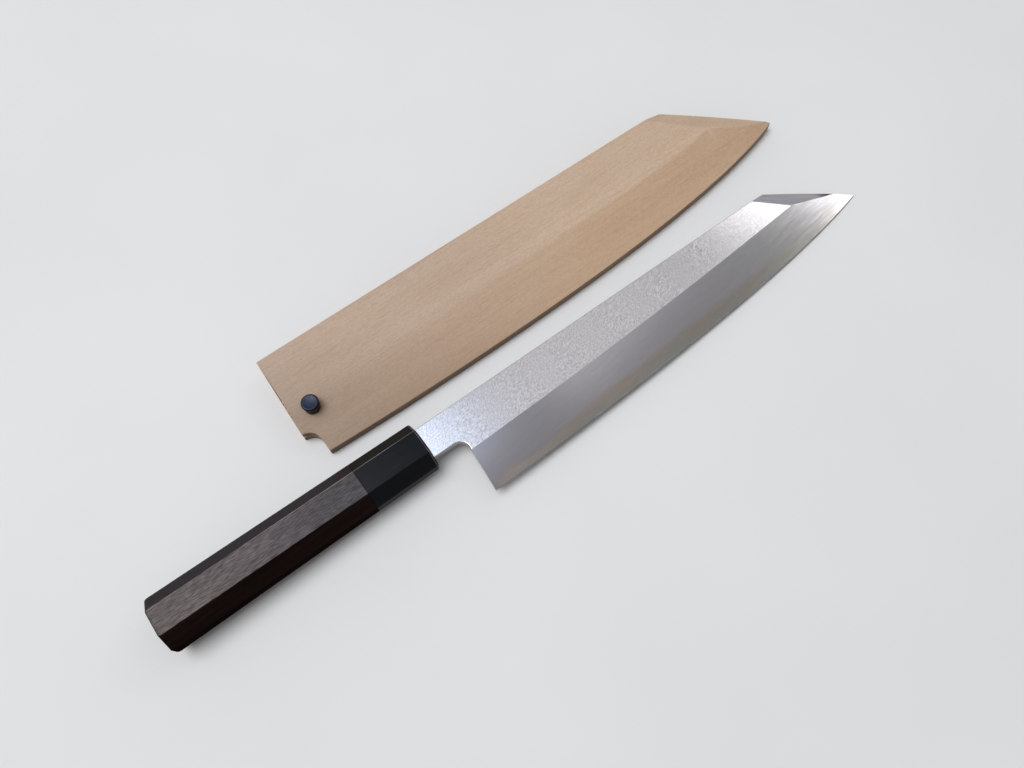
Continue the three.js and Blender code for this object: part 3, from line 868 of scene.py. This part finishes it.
# Width of the eased spine, and the other arrises as shares of it
SPINE_EASE = 0.35
POINT_EASE = 0.45
RIDGE_EASE = 0.3
FACET_EASE = 0.35
# The tang's two ends: x and half its height
TANG_ENDS = ((-80, 2.5), (NECK_X - 0.02, 4.25))
TANG_LOW = 0.5
TANG_HIGH = 3.5


def iron_body():
    flat, bevel, facet, wall = range(4)
    shell = Shell()
    ridge = TOPS[RIDGE_FIRST:RIDGE_LAST + 1]
    facet_edge = TOPS[RIDGE_LAST:FACET_LAST + 1]
    bevel_tops = TOPS[FIRST_WELD:LAST_WELD + 1]
    shell.face([ridge[0], *CHOIL, *NECK, *SPINE, *reversed(ridge)], flat)
    shell.face([SPINE[-1], SPINE_END, *POINT, *reversed(facet_edge)], facet)
    shell.strip(WELD_LINE, bevel_tops, bevel)
    under = at_height(ROUND_THE_BACK, weld_z)
    shell.strip(ROUND_THE_BACK, under, wall)
    shell.face([*under, *reversed(WELD_LINE)], wall)
    mark_across(shell, WELD_LINE + bevel_tops)
    shell.arris([ridge[0], *CHOIL, NECK[0]], 1)
    shell.arris([NECK[1], *SPINE, SPINE_END], 1)
    shell.arris([SPINE_END, *POINT, TOPS[FACET_LAST]], POINT_EASE)
    shell.arris(ridge, RIDGE_EASE)
    shell.arris([SPINE[-1], facet_edge[0]], RIDGE_EASE)
    shell.arris(facet_edge, FACET_EASE)
    tang = []
    for x, half in TANG_ENDS:
        low, high = -SPINE_ABOVE_AXIS - half, -SPINE_ABOVE_AXIS + half
        tang.append([
            (x, low, TANG_LOW), (x, high, TANG_LOW), (x, high, TANG_HIGH), (x, low, TANG_HIGH),
        ])
    shell.tube(tang, wall)
    looks = [
        steel_flat(), steel_bevel("bevel_iron", 0.165, 0.19), steel_facet(),
        steel_wall("side_iron", (0.47, 0.455, 0.45), 0.34),
    ]
    made = shell.build("iron_body", BLADE_PLACE, looks, BLADE_SHARP)
    round_arrises(made, SPINE_EASE * MM)
    finish_piece(made, "knife", "soft_iron", "blade_iron")


# Blade: the hard steel with its edge and its hollow back

HOLLOW_DEPTH = 0.35
HOLLOW_RIM = 3
HOLLOW_START = HEEL_TOP_X + HOLLOW_RIM
HOLLOW_END = REACH - 22.5
HOLLOW_RUNS = 48
HOLLOW_LANES = 16


def hollow_rows():
    """Rows across the hollow of the back, which leaves a flat rim."""
    slope = TIP_DROP / (REACH - SPINE_LENGTH)
    rows = []
    for share in np.linspace(0, 1, HOLLOW_RUNS + 1):
        x = lerp(HOLLOW_START, HOLLOW_END, share)
        low = edge_y(x) + HOLLOW_RIM
        high = -HOLLOW_RIM - max(0, (x - SPINE_LENGTH + HOLLOW_RIM) * slope)
        depth = HOLLOW_DEPTH * math.sqrt(max(0, arch(share)))
        lanes = np.linspace(0, 1, HOLLOW_LANES + 1)
        rows.append([(x, lerp(high, low, lane), depth * arch(lane)) for lane in lanes])
    return rows


def steel_layer():
    band, edge, back, wall = range(4)
    shell = Shell()
    shell.strip(EDGE_LOWS, EDGE_TOPS, edge)
    shell.strip(EDGE_TOPS, KOBA_TOPS, edge)
    shell.strip(KOBA_TOPS, WELDS, band)
    for line in (WELDS, KOBA_TOPS, EDGE_TOPS):
        shell.crease(line)
    mark_across(shell, WELDS + KOBA_TOPS)
    for point in (*EDGE_TOPS, *EDGE_LOWS):
        shell.mark(point, 0)
    seat = at_height(ROUND_THE_BACK, weld_z)
    shell.face([*seat, *reversed(WELD_LINE)], back)
    sides = [*TOPS[:FIRST_WELD], *seat, *TOPS[LAST_WELD + 1:]]
    soles = at_height(sides, lambda x: 0)
    shell.strip(sides, soles, wall)
    rows = hollow_rows()
    for first, second in zip(rows, rows[1:]):
        shell.strip(first, second, back)
    rim = [row[0] for row in rows] + rows[-1][1:] + [row[-1] for row in rows[-2::-1]]
    rim += rows[0][-2:0:-1]
    outer = soles + EDGE_LOWS[-2:0:-1]
    corners = outer + rim
    loops = [[Vector(p) for p in outer], [Vector(p) for p in rim]]
    for triangle in tessellate_polygon(loops):
        shell.face([corners[i] for i in triangle], back)
    looks = [
        steel_bevel("edge_band_steel", 0.16, 0.185),
        steel_wall("cutting_edge_steel", (0.74, 0.735, 0.72), 0.3),
        steel_back(),
        steel_wall("side_steel", (0.42, 0.405, 0.395), 0.28),
    ]
    made = shell.build("steel_layer", BLADE_PLACE, looks, BLADE_SHARP)
    finish_piece(made, "knife", "hard_steel", "edge_steel")


# Handle: rings around the axis, joined one to the next

# Painted highlight on the ferrule's arrises, as marks that the horn reads: on the lower corners
# and the front rim, 1 for none
LOWER_HIGHLIGHT_MARK = 0.6
FRONT_HIGHLIGHT_MARK = 0.25
FRONT_HIGHLIGHT_RING = 3


def octagon(x, inset, radius):
    """The handle's section at x, with rounded corners."""
    share = -x / HANDLE_LENGTH
    half_height = lerp(FRONT_HEIGHT, BUTT_HEIGHT, share) / 2
    half_thick = lerp(FRONT_THICK, BUTT_THICK, share) / 2
    cut = half_height - BROAD_HALF
    y, z = half_height - inset, half_thick - inset
    short_y, short_z = y - cut, z - cut
    corners = [Vector(c) for c in (
        (short_y, -z), (y, -short_z), (y, short_z), (short_y, z),
        (-short_y, z), (-y, short_z), (-y, -short_z), (-short_y, -z),
    )]
    ring = []
    for i, corner in enumerate(corners):
        before = (corners[i - 1] - corner).normalized()
        after = (corners[(i + 1) % 8] - corner).normalized()
        inward = (before + after).normalized()
        half = before.angle(after) / 2
        centre = corner + inward * (radius / math.sin(half))
        start = corner + before * (radius / math.tan(half)) - centre
        end = corner + after * (radius / math.tan(half)) - centre
        for step in range(CORNER_STEPS + 1):
            ray = start.normalized().slerp(end.normalized(), step / CORNER_STEPS) * radius
            ring.append((x, centre.x + ray.x, centre.y + ray.y))
    return ring


def rounded_end(end, length, inset, radius):
    return [
        octagon(end - length * (1 - math.sin(turn)), inset * (1 - math.cos(turn)), radius)
        for turn in np.linspace(0, math.pi / 2, END_STEPS + 1)
    ]


def bore_inside(ring, x):
    lengths = [math.hypot(y, z) for _, y, z in ring]
    return [
        (x, y / length * BORE_RADIUS, z / length * BORE_RADIUS)
        for (_, y, z), length in zip(ring, lengths)
    ]


def slot_inside(ring, x):
    made = []
    for _, y, z in ring:
        shrink = min(SLOT_HALF_HEIGHT / max(abs(y), 1e-6), SLOT_HALF_THICK / max(abs(z), 1e-6))
        made.append((x, y * shrink, z * shrink))
    return made


def ferrule_piece():
    rear = octagon(-FERRULE_LENGTH, JOINT_EASE, FERRULE_CORNER)
    rings = [rear, octagon(-FERRULE_LENGTH + JOINT_EASE, 0, FERRULE_CORNER)]
    rings += rounded_end(0, FERRULE_ROUND, FERRULE_ROUND, FERRULE_CORNER)
    outer, front = list(rings), rings[-1]
    rings += [slot_inside(front, x) for x in (0, -FERRULE_WEB)]
    rings += [bore_inside(rear, x) for x in (-FERRULE_WEB, -FERRULE_LENGTH)]
    shell = Shell()
    for first, second in zip(rings, rings[1:] + rings[:1]):
        shell.strip(first, second, loop=True)
    # Marks for the horn's painted highlight, strongest in the middle of each upper corner and
    # weaker on the lower ones
    half = CORNER_STEPS / 2
    for ring in outer:
        for i, point in enumerate(ring):
            painted_highlight_mark = abs(i % (CORNER_STEPS + 1) - half) / half
            upper = point[1] > 0 and point[2] > 0
            shell.mark(point, painted_highlight_mark if upper else lerp(LOWER_HIGHLIGHT_MARK, 1, painted_highlight_mark))
    for point in outer[FRONT_HIGHLIGHT_RING]:
        if point[2] > 0:
            shell.mark(point, FRONT_HIGHLIGHT_MARK)
    made = build_even(shell, "horn_ferrule", KNIFE_PLACE, horn(), HANDLE_SHARP)
    finish_piece(made, "knife", "horn", "ferrule")


def grip_piece():
    butt = rounded_end(-HANDLE_LENGTH, -BUTT_ROUND, BUTT_INSET, GRIP_CORNER)[::-1]
    front = octagon(JOINT_X, JOINT_EASE, GRIP_CORNER)
    rings = [*butt, octagon(JOINT_X - JOINT_EASE, 0, GRIP_CORNER), front]
    rings += [bore_inside(front, x) for x in (JOINT_X, BORE_END)]
    shell = Shell()
    shell.tube(rings)
    made = build_even(shell, "wooden_grip", KNIFE_PLACE, dark_wood(), HANDLE_SHARP)
    finish_piece(made, "knife", "dark_wood", "handle_grip")


# Pin, in millimetres from the table, and the hole for it

pin_low, pin_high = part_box("sheath_pin")
PIN_CENTRE = (pin_low + pin_high) / 2 / MM
PIN_LOW = 0.4
PIN_HIGH = pin_high.z / MM
PIN_TOP_RADIUS = 4.6
PIN_END_RADIUS = 2.9
PIN_FOOT_INNER = 1.2
PIN_ROUND = 0.75
PIN_LIP = 0.1
PIN_DISH = 0.3
PIN_DISH_INNER = 0.1
PIN_RINGS = 10
PIN_ROUND_STEPS = 7
PIN_SIDES = 56
HOLE_ENDS = (-3, 16)
HOLE_ROOM = 0.1
HOLE_SIDES = 64


def pin_radius(z):
    return lerp(PIN_END_RADIUS, PIN_TOP_RADIUS, (z - PIN_LOW) / (PIN_HIGH - PIN_LOW))


def pin_ring(radius, z, sides):
    return [
        (PIN_CENTRE.x + radius * math.cos(t), PIN_CENTRE.y + radius * math.sin(t), z)
        for t in np.linspace(0, 2 * math.pi, sides + 1)[:-1]
    ]


def drill_hole(made):
    shell = Shell()
    shell.tube([pin_ring(pin_radius(z) + HOLE_ROOM, z, HOLE_SIDES) for z in HOLE_ENDS])
    carve(made, shell.build("hole", Matrix.Scale(MM, 4), [], CUTTER_SHARP))


def pin_piece():
    rim = PIN_HIGH - PIN_ROUND
    foot = PIN_LOW + PIN_ROUND
    profile = [(PIN_FOOT_INNER, PIN_LOW), (PIN_END_RADIUS - PIN_ROUND, PIN_LOW)]
    profile += [(pin_radius(foot), foot)]
    profile += [(pin_radius(z), z) for z in np.linspace(foot + 1, rim, PIN_RINGS)]
    for turn in np.linspace(0, math.pi / 2, PIN_ROUND_STEPS)[1:]:
        inset = PIN_ROUND * (1 - math.cos(turn))
        profile += [(pin_radius(rim) - inset, rim + PIN_ROUND * math.sin(turn))]
    flat = pin_radius(rim) - PIN_ROUND - PIN_LIP
    for share in np.linspace(1, PIN_DISH_INNER, PIN_ROUND_STEPS):
        profile += [(flat * share, PIN_HIGH - PIN_DISH * (1 - share ** 2))]
    shell = Shell()
    shell.tube([pin_ring(radius, z, PIN_SIDES) for radius, z in profile])
    made = build_even(shell, "pin_peg", Matrix.Scale(MM, 4), pin_wood(), PIN_SHARP)
    finish_piece(made, "pin", "pin_wood", "sheath_pin")


# Sheath sizes in millimetres: x from its mouth, y from its spine side, z from its underside

SHEATH_SPINE_END = 270.5
SHEATH_TIP = (321.4, -42.6)
SHEATH_POINT_BOW = 0.9
SHEATH_WIDTH = 60.3
SHEATH_HIGH = 12
SHEATH_SEAM = 4
SHEATH_EDGE_HIGH = 6
SHEATH_HEEL_RUN = 74
SHEATH_HEEL_ANGLE = math.radians(-2.75)
SHEATH_TIP_RUN = 76
SHEATH_TIP_ANGLE = math.radians(18.5)
SHEATH_EDGE_STEPS = 90
SHEATH_POINT_STEPS = 12
SHEATH_STATION_GAP = 1
NOTCH_X = 5.6
NOTCH_DROP = 46.4
MOUTH_SLOPE = math.tan(math.radians(1.6))
NOTCH_START_X = -NOTCH_DROP * MOUTH_SLOPE
NOTCH_RADIUS = NOTCH_X - NOTCH_START_X
SHEATH_FACET_START = 258.7
SHEATH_FACET_END = 284.7
SHEATH_RIDGE_MOUTH = -31.5
SHEATH_RIDGE_POINT = -26.5
SHEATH_RIDGE_BEND = 9
SHEATH_FACET_FALL = math.tan(math.radians(20))
SEATED = (1.5, -7, SHEATH_SEAM)
SHEATH_TURN = math.radians(-0.28)
SLOT_ROOM = 0.4
SLOT_HIGH = 4.8
SLOT_EDGE_HIGH = 1.05
SLOT_END_ROOM = 2
NOTCH_STEPS = 14

sheath_corner_x = NOTCH_START_X * math.cos(SHEATH_TURN) + NOTCH_DROP * math.sin(SHEATH_TURN)
SHEATH_PLACE = (
    Matrix.Scale(MM, 4)
    @ Matrix.Translation((
        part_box("sheath_back")[0].x / MM - sheath_corner_x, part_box("sheath_back")[1].y / MM, 0,
    ))
    @ Matrix.Rotation(SHEATH_TURN, 4, "Z")
)
SHEATH_EDGE = edge_curve(
    (NOTCH_X, -SHEATH_WIDTH), SHEATH_HEEL_RUN, SHEATH_HEEL_ANGLE,
    SHEATH_TIP, SHEATH_TIP_RUN, SHEATH_TIP_ANGLE, SHEATH_EDGE_STEPS,
)
SHEATH_SIDE = bowed_side((SHEATH_SPINE_END, 0), SHEATH_TIP, SHEATH_POINT_BOW, SIDE_STEPS)
NOTCH = []
for turn in np.linspace(math.pi / 2, 0, NOTCH_STEPS + 1):
    x = NOTCH_START_X + NOTCH_RADIUS * math.cos(turn)
    NOTCH.append((x, -NOTCH_DROP - NOTCH_RADIUS * (1 - math.sin(turn))))


def sheath_edge_y(x):
    return curve_y(SHEATH_EDGE, x)


def sheath_ridge_y(x):
    share = min(x / SHEATH_FACET_END, 1)
    return lerp(SHEATH_RIDGE_MOUTH, SHEATH_RIDGE_POINT, share ** SHEATH_RIDGE_BEND)


def sheath_slope_z(x, y):
    low, high = sheath_edge_y(x), sheath_ridge_y(x)
    return SHEATH_EDGE_HIGH + (SHEATH_HIGH - SHEATH_EDGE_HIGH) * (y - low) / (high - low)


def sheath_side_y(x):
    return curve_y(SHEATH_SIDE, x)


def sheath_facet_z(x, y):
    along = Vector((SHEATH_FACET_END - SHEATH_FACET_START, SHEATH_RIDGE_POINT)).normalized()
    outward = Vector((-along.y, along.x))
    return SHEATH_HIGH - Vector((x - SHEATH_FACET_START, y)).dot(outward) * SHEATH_FACET_FALL


def sheath_top(x):
    """The upper end of the slope's line across the sheath at x."""
    if x <= SHEATH_FACET_END:
        return (x, sheath_ridge_y(x), SHEATH_HIGH)
    if x == SHEATH_TIP[0]:
        return (*SHEATH_TIP, SHEATH_EDGE_HIGH)
    y = crossing(
        lambda y: sheath_facet_z(x, y) - sheath_slope_z(x, y), sheath_edge_y(x), sheath_side_y(x),
    )
    return (x, y, sheath_facet_z(x, y))


RIDGE_ROUND_MOUTH = 5
RIDGE_ROUND_POINT = 1.2
RIDGE_ROUND_FADE = 12
RIDGE_LANES = (-1, -0.5, 0, 0.5, 1)


def ridge_lane(x, lane):
    """A point of the rounding over the ridge, lane -1 on the level top and 1 on the slope."""
    y = sheath_ridge_y(x)
    room = lerp(RIDGE_ROUND_MOUTH, RIDGE_ROUND_POINT, x / SHEATH_FACET_END)
    room *= min(1, (SHEATH_FACET_END - x) / RIDGE_ROUND_FADE)
    fall = (SHEATH_HIGH - SHEATH_EDGE_HIGH) / (y - sheath_edge_y(x))
    return (x, y - lane * room, SHEATH_HIGH - fall * room * (lane + 1) ** 2 / 4)


def mouth_lane(lane):
    """The same rounding on the mouth, which leans."""
    _, y, z = ridge_lane(0, lane)
    return (y * MOUTH_SLOPE, y, z)


SHEATH_STATIONS = stations(
    [SHEATH_FACET_START, SHEATH_FACET_END, SHEATH_TIP[0]], SHEATH_EDGE[1:, 0], SHEATH_STATION_GAP,
)
SLOPE_TOPS = [sheath_top(x) for x in SHEATH_STATIONS]
SLOPE_LOWS = [(x, sheath_edge_y(x), SHEATH_EDGE_HIGH) for x in SHEATH_STATIONS]
NOTCH_LOWS = [(x, y, sheath_slope_z(x, y)) for x, y in NOTCH]
NOTCH_CORNER = (NOTCH_X, -SHEATH_WIDTH, SHEATH_EDGE_HIGH)
FACET_END_I = SHEATH_STATIONS.index(SHEATH_FACET_END)
RIDGE_XS = [x for x, _ in NOTCH[1:]] + SHEATH_STATIONS[:FACET_END_I + 1]
RIDGE_ROWS = [[mouth_lane(lane), *(ridge_lane(x, lane) for x in RIDGE_XS)] for lane in RIDGE_LANES]
SPINE_SIDE = [
    (min(p[0], SHEATH_FACET_START) if p[0] > NOTCH_X else 0, 0, SHEATH_HIGH) for p in RIDGE_ROWS[0]
]
POINT_SIDE = [
    (x, sheath_side_y(x), sheath_facet_z(x, sheath_side_y(x)))
    for x in np.linspace(SHEATH_SPINE_END, SHEATH_TIP[0], SHEATH_POINT_STEPS)[:-1]
]
MOUTH_ROW = [row[0] for row in RIDGE_ROWS[::-1]]
SHEATH_RIM = [*MOUTH_ROW, *dict.fromkeys(SPINE_SIDE), *POINT_SIDE, *SLOPE_LOWS[::-1], NOTCH_CORNER]
SHEATH_RIM += NOTCH_LOWS[::-1]
RIM_CORNERS = [(0, 0), (SHEATH_SPINE_END, 0), SHEATH_TIP, NOTCH_CORNER[:2], NOTCH[0]]
# Width of the rounding outside, and the seam's and the tip's as shares of it
OUTER_ROUND = 0.5
SEAM_SHARE = 0.14 / OUTER_ROUND
TIP_SHARE = 0.4
ROUND_STEPS = 4
# The slot is cut in the blade's own coordinates
SLOT_STATIONS = [
    -6, HEEL_X, *np.linspace(30, SPINE_LENGTH, 22),
    *np.linspace(SPINE_LENGTH + 2, REACH + SLOT_END_ROOM - 0.2, 16),
]
SLOT_EDGE_STEPS = 60
SLOT_SIDE_STEPS = 40
SLOT_FLOOR = -3


def corner_arrises(shell, low, high):
    for x, y in RIM_CORNERS:
        top = next(p for p in SHEATH_RIM if math.hypot(p[0] - x, p[1] - y) < SAME_PLACE)
        shell.arris([(top[0], top[1], low), (top[0], top[1], high(top))], 1)


def slot_cutter():
    edge = blade_edge(SLOT_ROOM, SLOT_END_ROOM, SLOT_EDGE_STEPS)
    side = point_side(SLOT_ROOM, SLOT_END_ROOM, SLOT_SIDE_STEPS)
    rings = []
    for x in SLOT_STATIONS:
        low = curve_y(edge, x)
        high = SLOT_ROOM + spine_y(x) if x <= side[0, 0] else curve_y(side, x)
        bend = ridge_y(x)
        fall = (SLOT_HIGH - SLOT_EDGE_HIGH) / (bend - low)
        turn = min(bend, high)
        turn_z = SLOT_EDGE_HIGH + fall * (turn - low)
        top_z = SLOT_HIGH if high > bend else turn_z
        rings.append([
            (x, low, SLOT_FLOOR), (x, high, SLOT_FLOOR), (x, high, top_z),
            (x, turn, turn_z), (x, low, SLOT_EDGE_HIGH),
        ])
    shell = Shell()
    shell.tube(rings)
    return shell.build("slot", SHEATH_PLACE @ Matrix.Translation(SEATED), [], CUTTER_SHARP)


def rounded_board(shell, name, wood):
    made = shell.build(name, SHEATH_PLACE, [wood], BOARD_SHARP)
    round_arrises(made, OUTER_ROUND * MM, ROUND_STEPS)
    bake_modifiers(made)
    triangulate(made)
    return made


def finish_board(made, node):
    drill_hole(made)
    even_normals(made, BOARD_NORMALS_SHARP)
    finish_piece(made, "sheath", "sheath_wood", node)


def face_board(wood):
    shell = Shell()
    facet_edge = SLOPE_TOPS[FACET_END_I:]
    for first, second in zip([SPINE_SIDE, *RIDGE_ROWS], RIDGE_ROWS):
        shell.strip(first, second)
    shell.face([SPINE_SIDE[-1], *POINT_SIDE, *reversed(facet_edge)])
    slope_row = [*RIDGE_ROWS[-1], *facet_edge[1:]]
    notch_row, slope_row = slope_row[:len(NOTCH)], slope_row[len(NOTCH):]
    shell.strip(notch_row, NOTCH_LOWS)
    shell.face([notch_row[-1], NOTCH_LOWS[-1], NOTCH_CORNER, SLOPE_LOWS[0], slope_row[0]])
    shell.strip(slope_row, SLOPE_LOWS)
    seam = at_height(SHEATH_RIM, lambda x: SHEATH_SEAM)
    shell.strip(SHEATH_RIM, seam, loop=True)
    shell.face(seam)
    shell.arris([*SHEATH_RIM, SHEATH_RIM[0]], 1)
    shell.arris([*seam, seam[0]], SEAM_SHARE)
    shell.arris([SPINE_SIDE[-1], *facet_edge[:-2]], 1)
    shell.arris(facet_edge[-3:], TIP_SHARE)
    corner_arrises(shell, SHEATH_SEAM, lambda top: top[2])
    made = rounded_board(shell, "sheath_face_board", wood)
    carve(made, slot_cutter())
    finish_board(made, "sheath_face")


def back_board(wood):
    shell = Shell()
    top = at_height(SHEATH_RIM, lambda x: SHEATH_SEAM)
    sole = at_height(SHEATH_RIM, lambda x: 0)
    shell.strip(top, sole, loop=True)
    shell.face(top)
    shell.face(sole)
    shell.arris([*top, top[0]], SEAM_SHARE)
    shell.arris([*sole, sole[0]], 1)
    corner_arrises(shell, 0, lambda top: SHEATH_SEAM)
    finish_board(rounded_board(shell, "sheath_back_board", wood), "sheath_back")


iron_body()
steel_layer()
ferrule_piece()
grip_piece()
face_board(pale_wood("sheath_face_wood", 0, 1))
back_board(pale_wood("sheath_back_wood", 1.1, 1.02))
pin_piece()


def dress(node, material):
    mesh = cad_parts[node].data
    mesh.materials.clear()
    mesh.materials.append(material)


dress("handle_dowel", pale_wood("dowel_wood_grain", -0.8, 1.05))
dress("tang_bedding", resin())

# Floor, lamps and sky, in metres

FLOOR_REACH = 6
FLOOR_Z = -0.00005
# Parts of the sky's direction: zenith, near and far
SKY_ZENITH_Z = 0.7
SKY_NEAR_Y = -1
SKY_FAR_Y = 0.2


def lay_floor():
    look = Look("pale_floor")
    cloud = look.noise((160, 160, 160), detail=3)
    colour = look.ramp(cloud, [(0.3, (0.76, 0.755, 0.745)), (0.7, (0.79, 0.785, 0.775))])
    look.feed("Base Color", colour)
    look.set(Roughness=0.7)
    mesh = bpy.data.meshes.new("floor")
    ways = ((-1, -1), (1, -1), (1, 1), (-1, 1))
    corners = [(x * FLOOR_REACH, y * FLOOR_REACH, FLOOR_Z) for x, y in ways]
    mesh.from_pydata(corners, [], [(0, 1, 2, 3)])
    mesh.materials.append(look.material)
    floor = add_object("floor", mesh)
    floor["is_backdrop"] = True


def softbox(name, place, aim, width, height, radiance, colour=(1, 1, 1), lean=0):
    """A rectangular lamp, turned by lean degrees about the line to its aim."""
    lamp = bpy.data.lights.new(name, "AREA")
    lamp.shape = "RECTANGLE"
    lamp.size = width
    lamp.size_y = height
    lamp.energy = radiance * math.pi * width * height
    lamp.color = colour
    made = add_object(name, lamp)
    made.location = place
    facing = (Vector(aim) - made.location).to_track_quat("-Z", "Y")
    made.rotation_euler = (facing @ Quaternion((0, 0, 1), math.radians(lean))).to_euler()


def sky(horizon, zenith, near_share):
    """A soft sky, brightest at the far horizon and dimmer behind the camera."""
    world = bpy.data.worlds.new("sky")
    scene.world = world
    world.use_nodes = True
    nodes = Nodes(world.node_tree)
    where = nodes.node("ShaderNodeTexCoord").outputs["Generated"]
    upward = nodes.band(nodes.part(where, "Z"), 0, SKY_ZENITH_Z, horizon, zenith, "LINEAR")
    away = nodes.band(nodes.part(where, "Y"), SKY_NEAR_Y, SKY_FAR_Y, near_share, 1, "LINEAR")
    background = nodes.tree.nodes["Background"]
    nodes.link(nodes.product(upward, away), background.inputs["Strength"])
    background.inputs["Color"].default_value = (1, 1, 1, 1)


lay_floor()
sky(horizon=0.75, zenith=0.3, near_share=0.5)
softbox("key", (-1.4, 0.8, 4.0), aim=(0, 0, 0), width=2.8, height=2.8, radiance=4.8)
softbox(
    "window", (-0.114, 0.215, 1.12), aim=(-0.09, 0, 0.015),
    width=0.61, height=0.68, radiance=1.02, colour=(0.52, 0.71, 1),
)
softbox(
    "lamp", (1.169, 0.198, 1.069), aim=(0.175, -0.03, 0),
    width=0.785, height=0.106, radiance=3.85, lean=12,
)
softbox("fill", (0.551, 0.29, 1.22), aim=(0.05, -0.02, 0), width=0.6, height=0.56, radiance=0.4)

low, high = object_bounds()
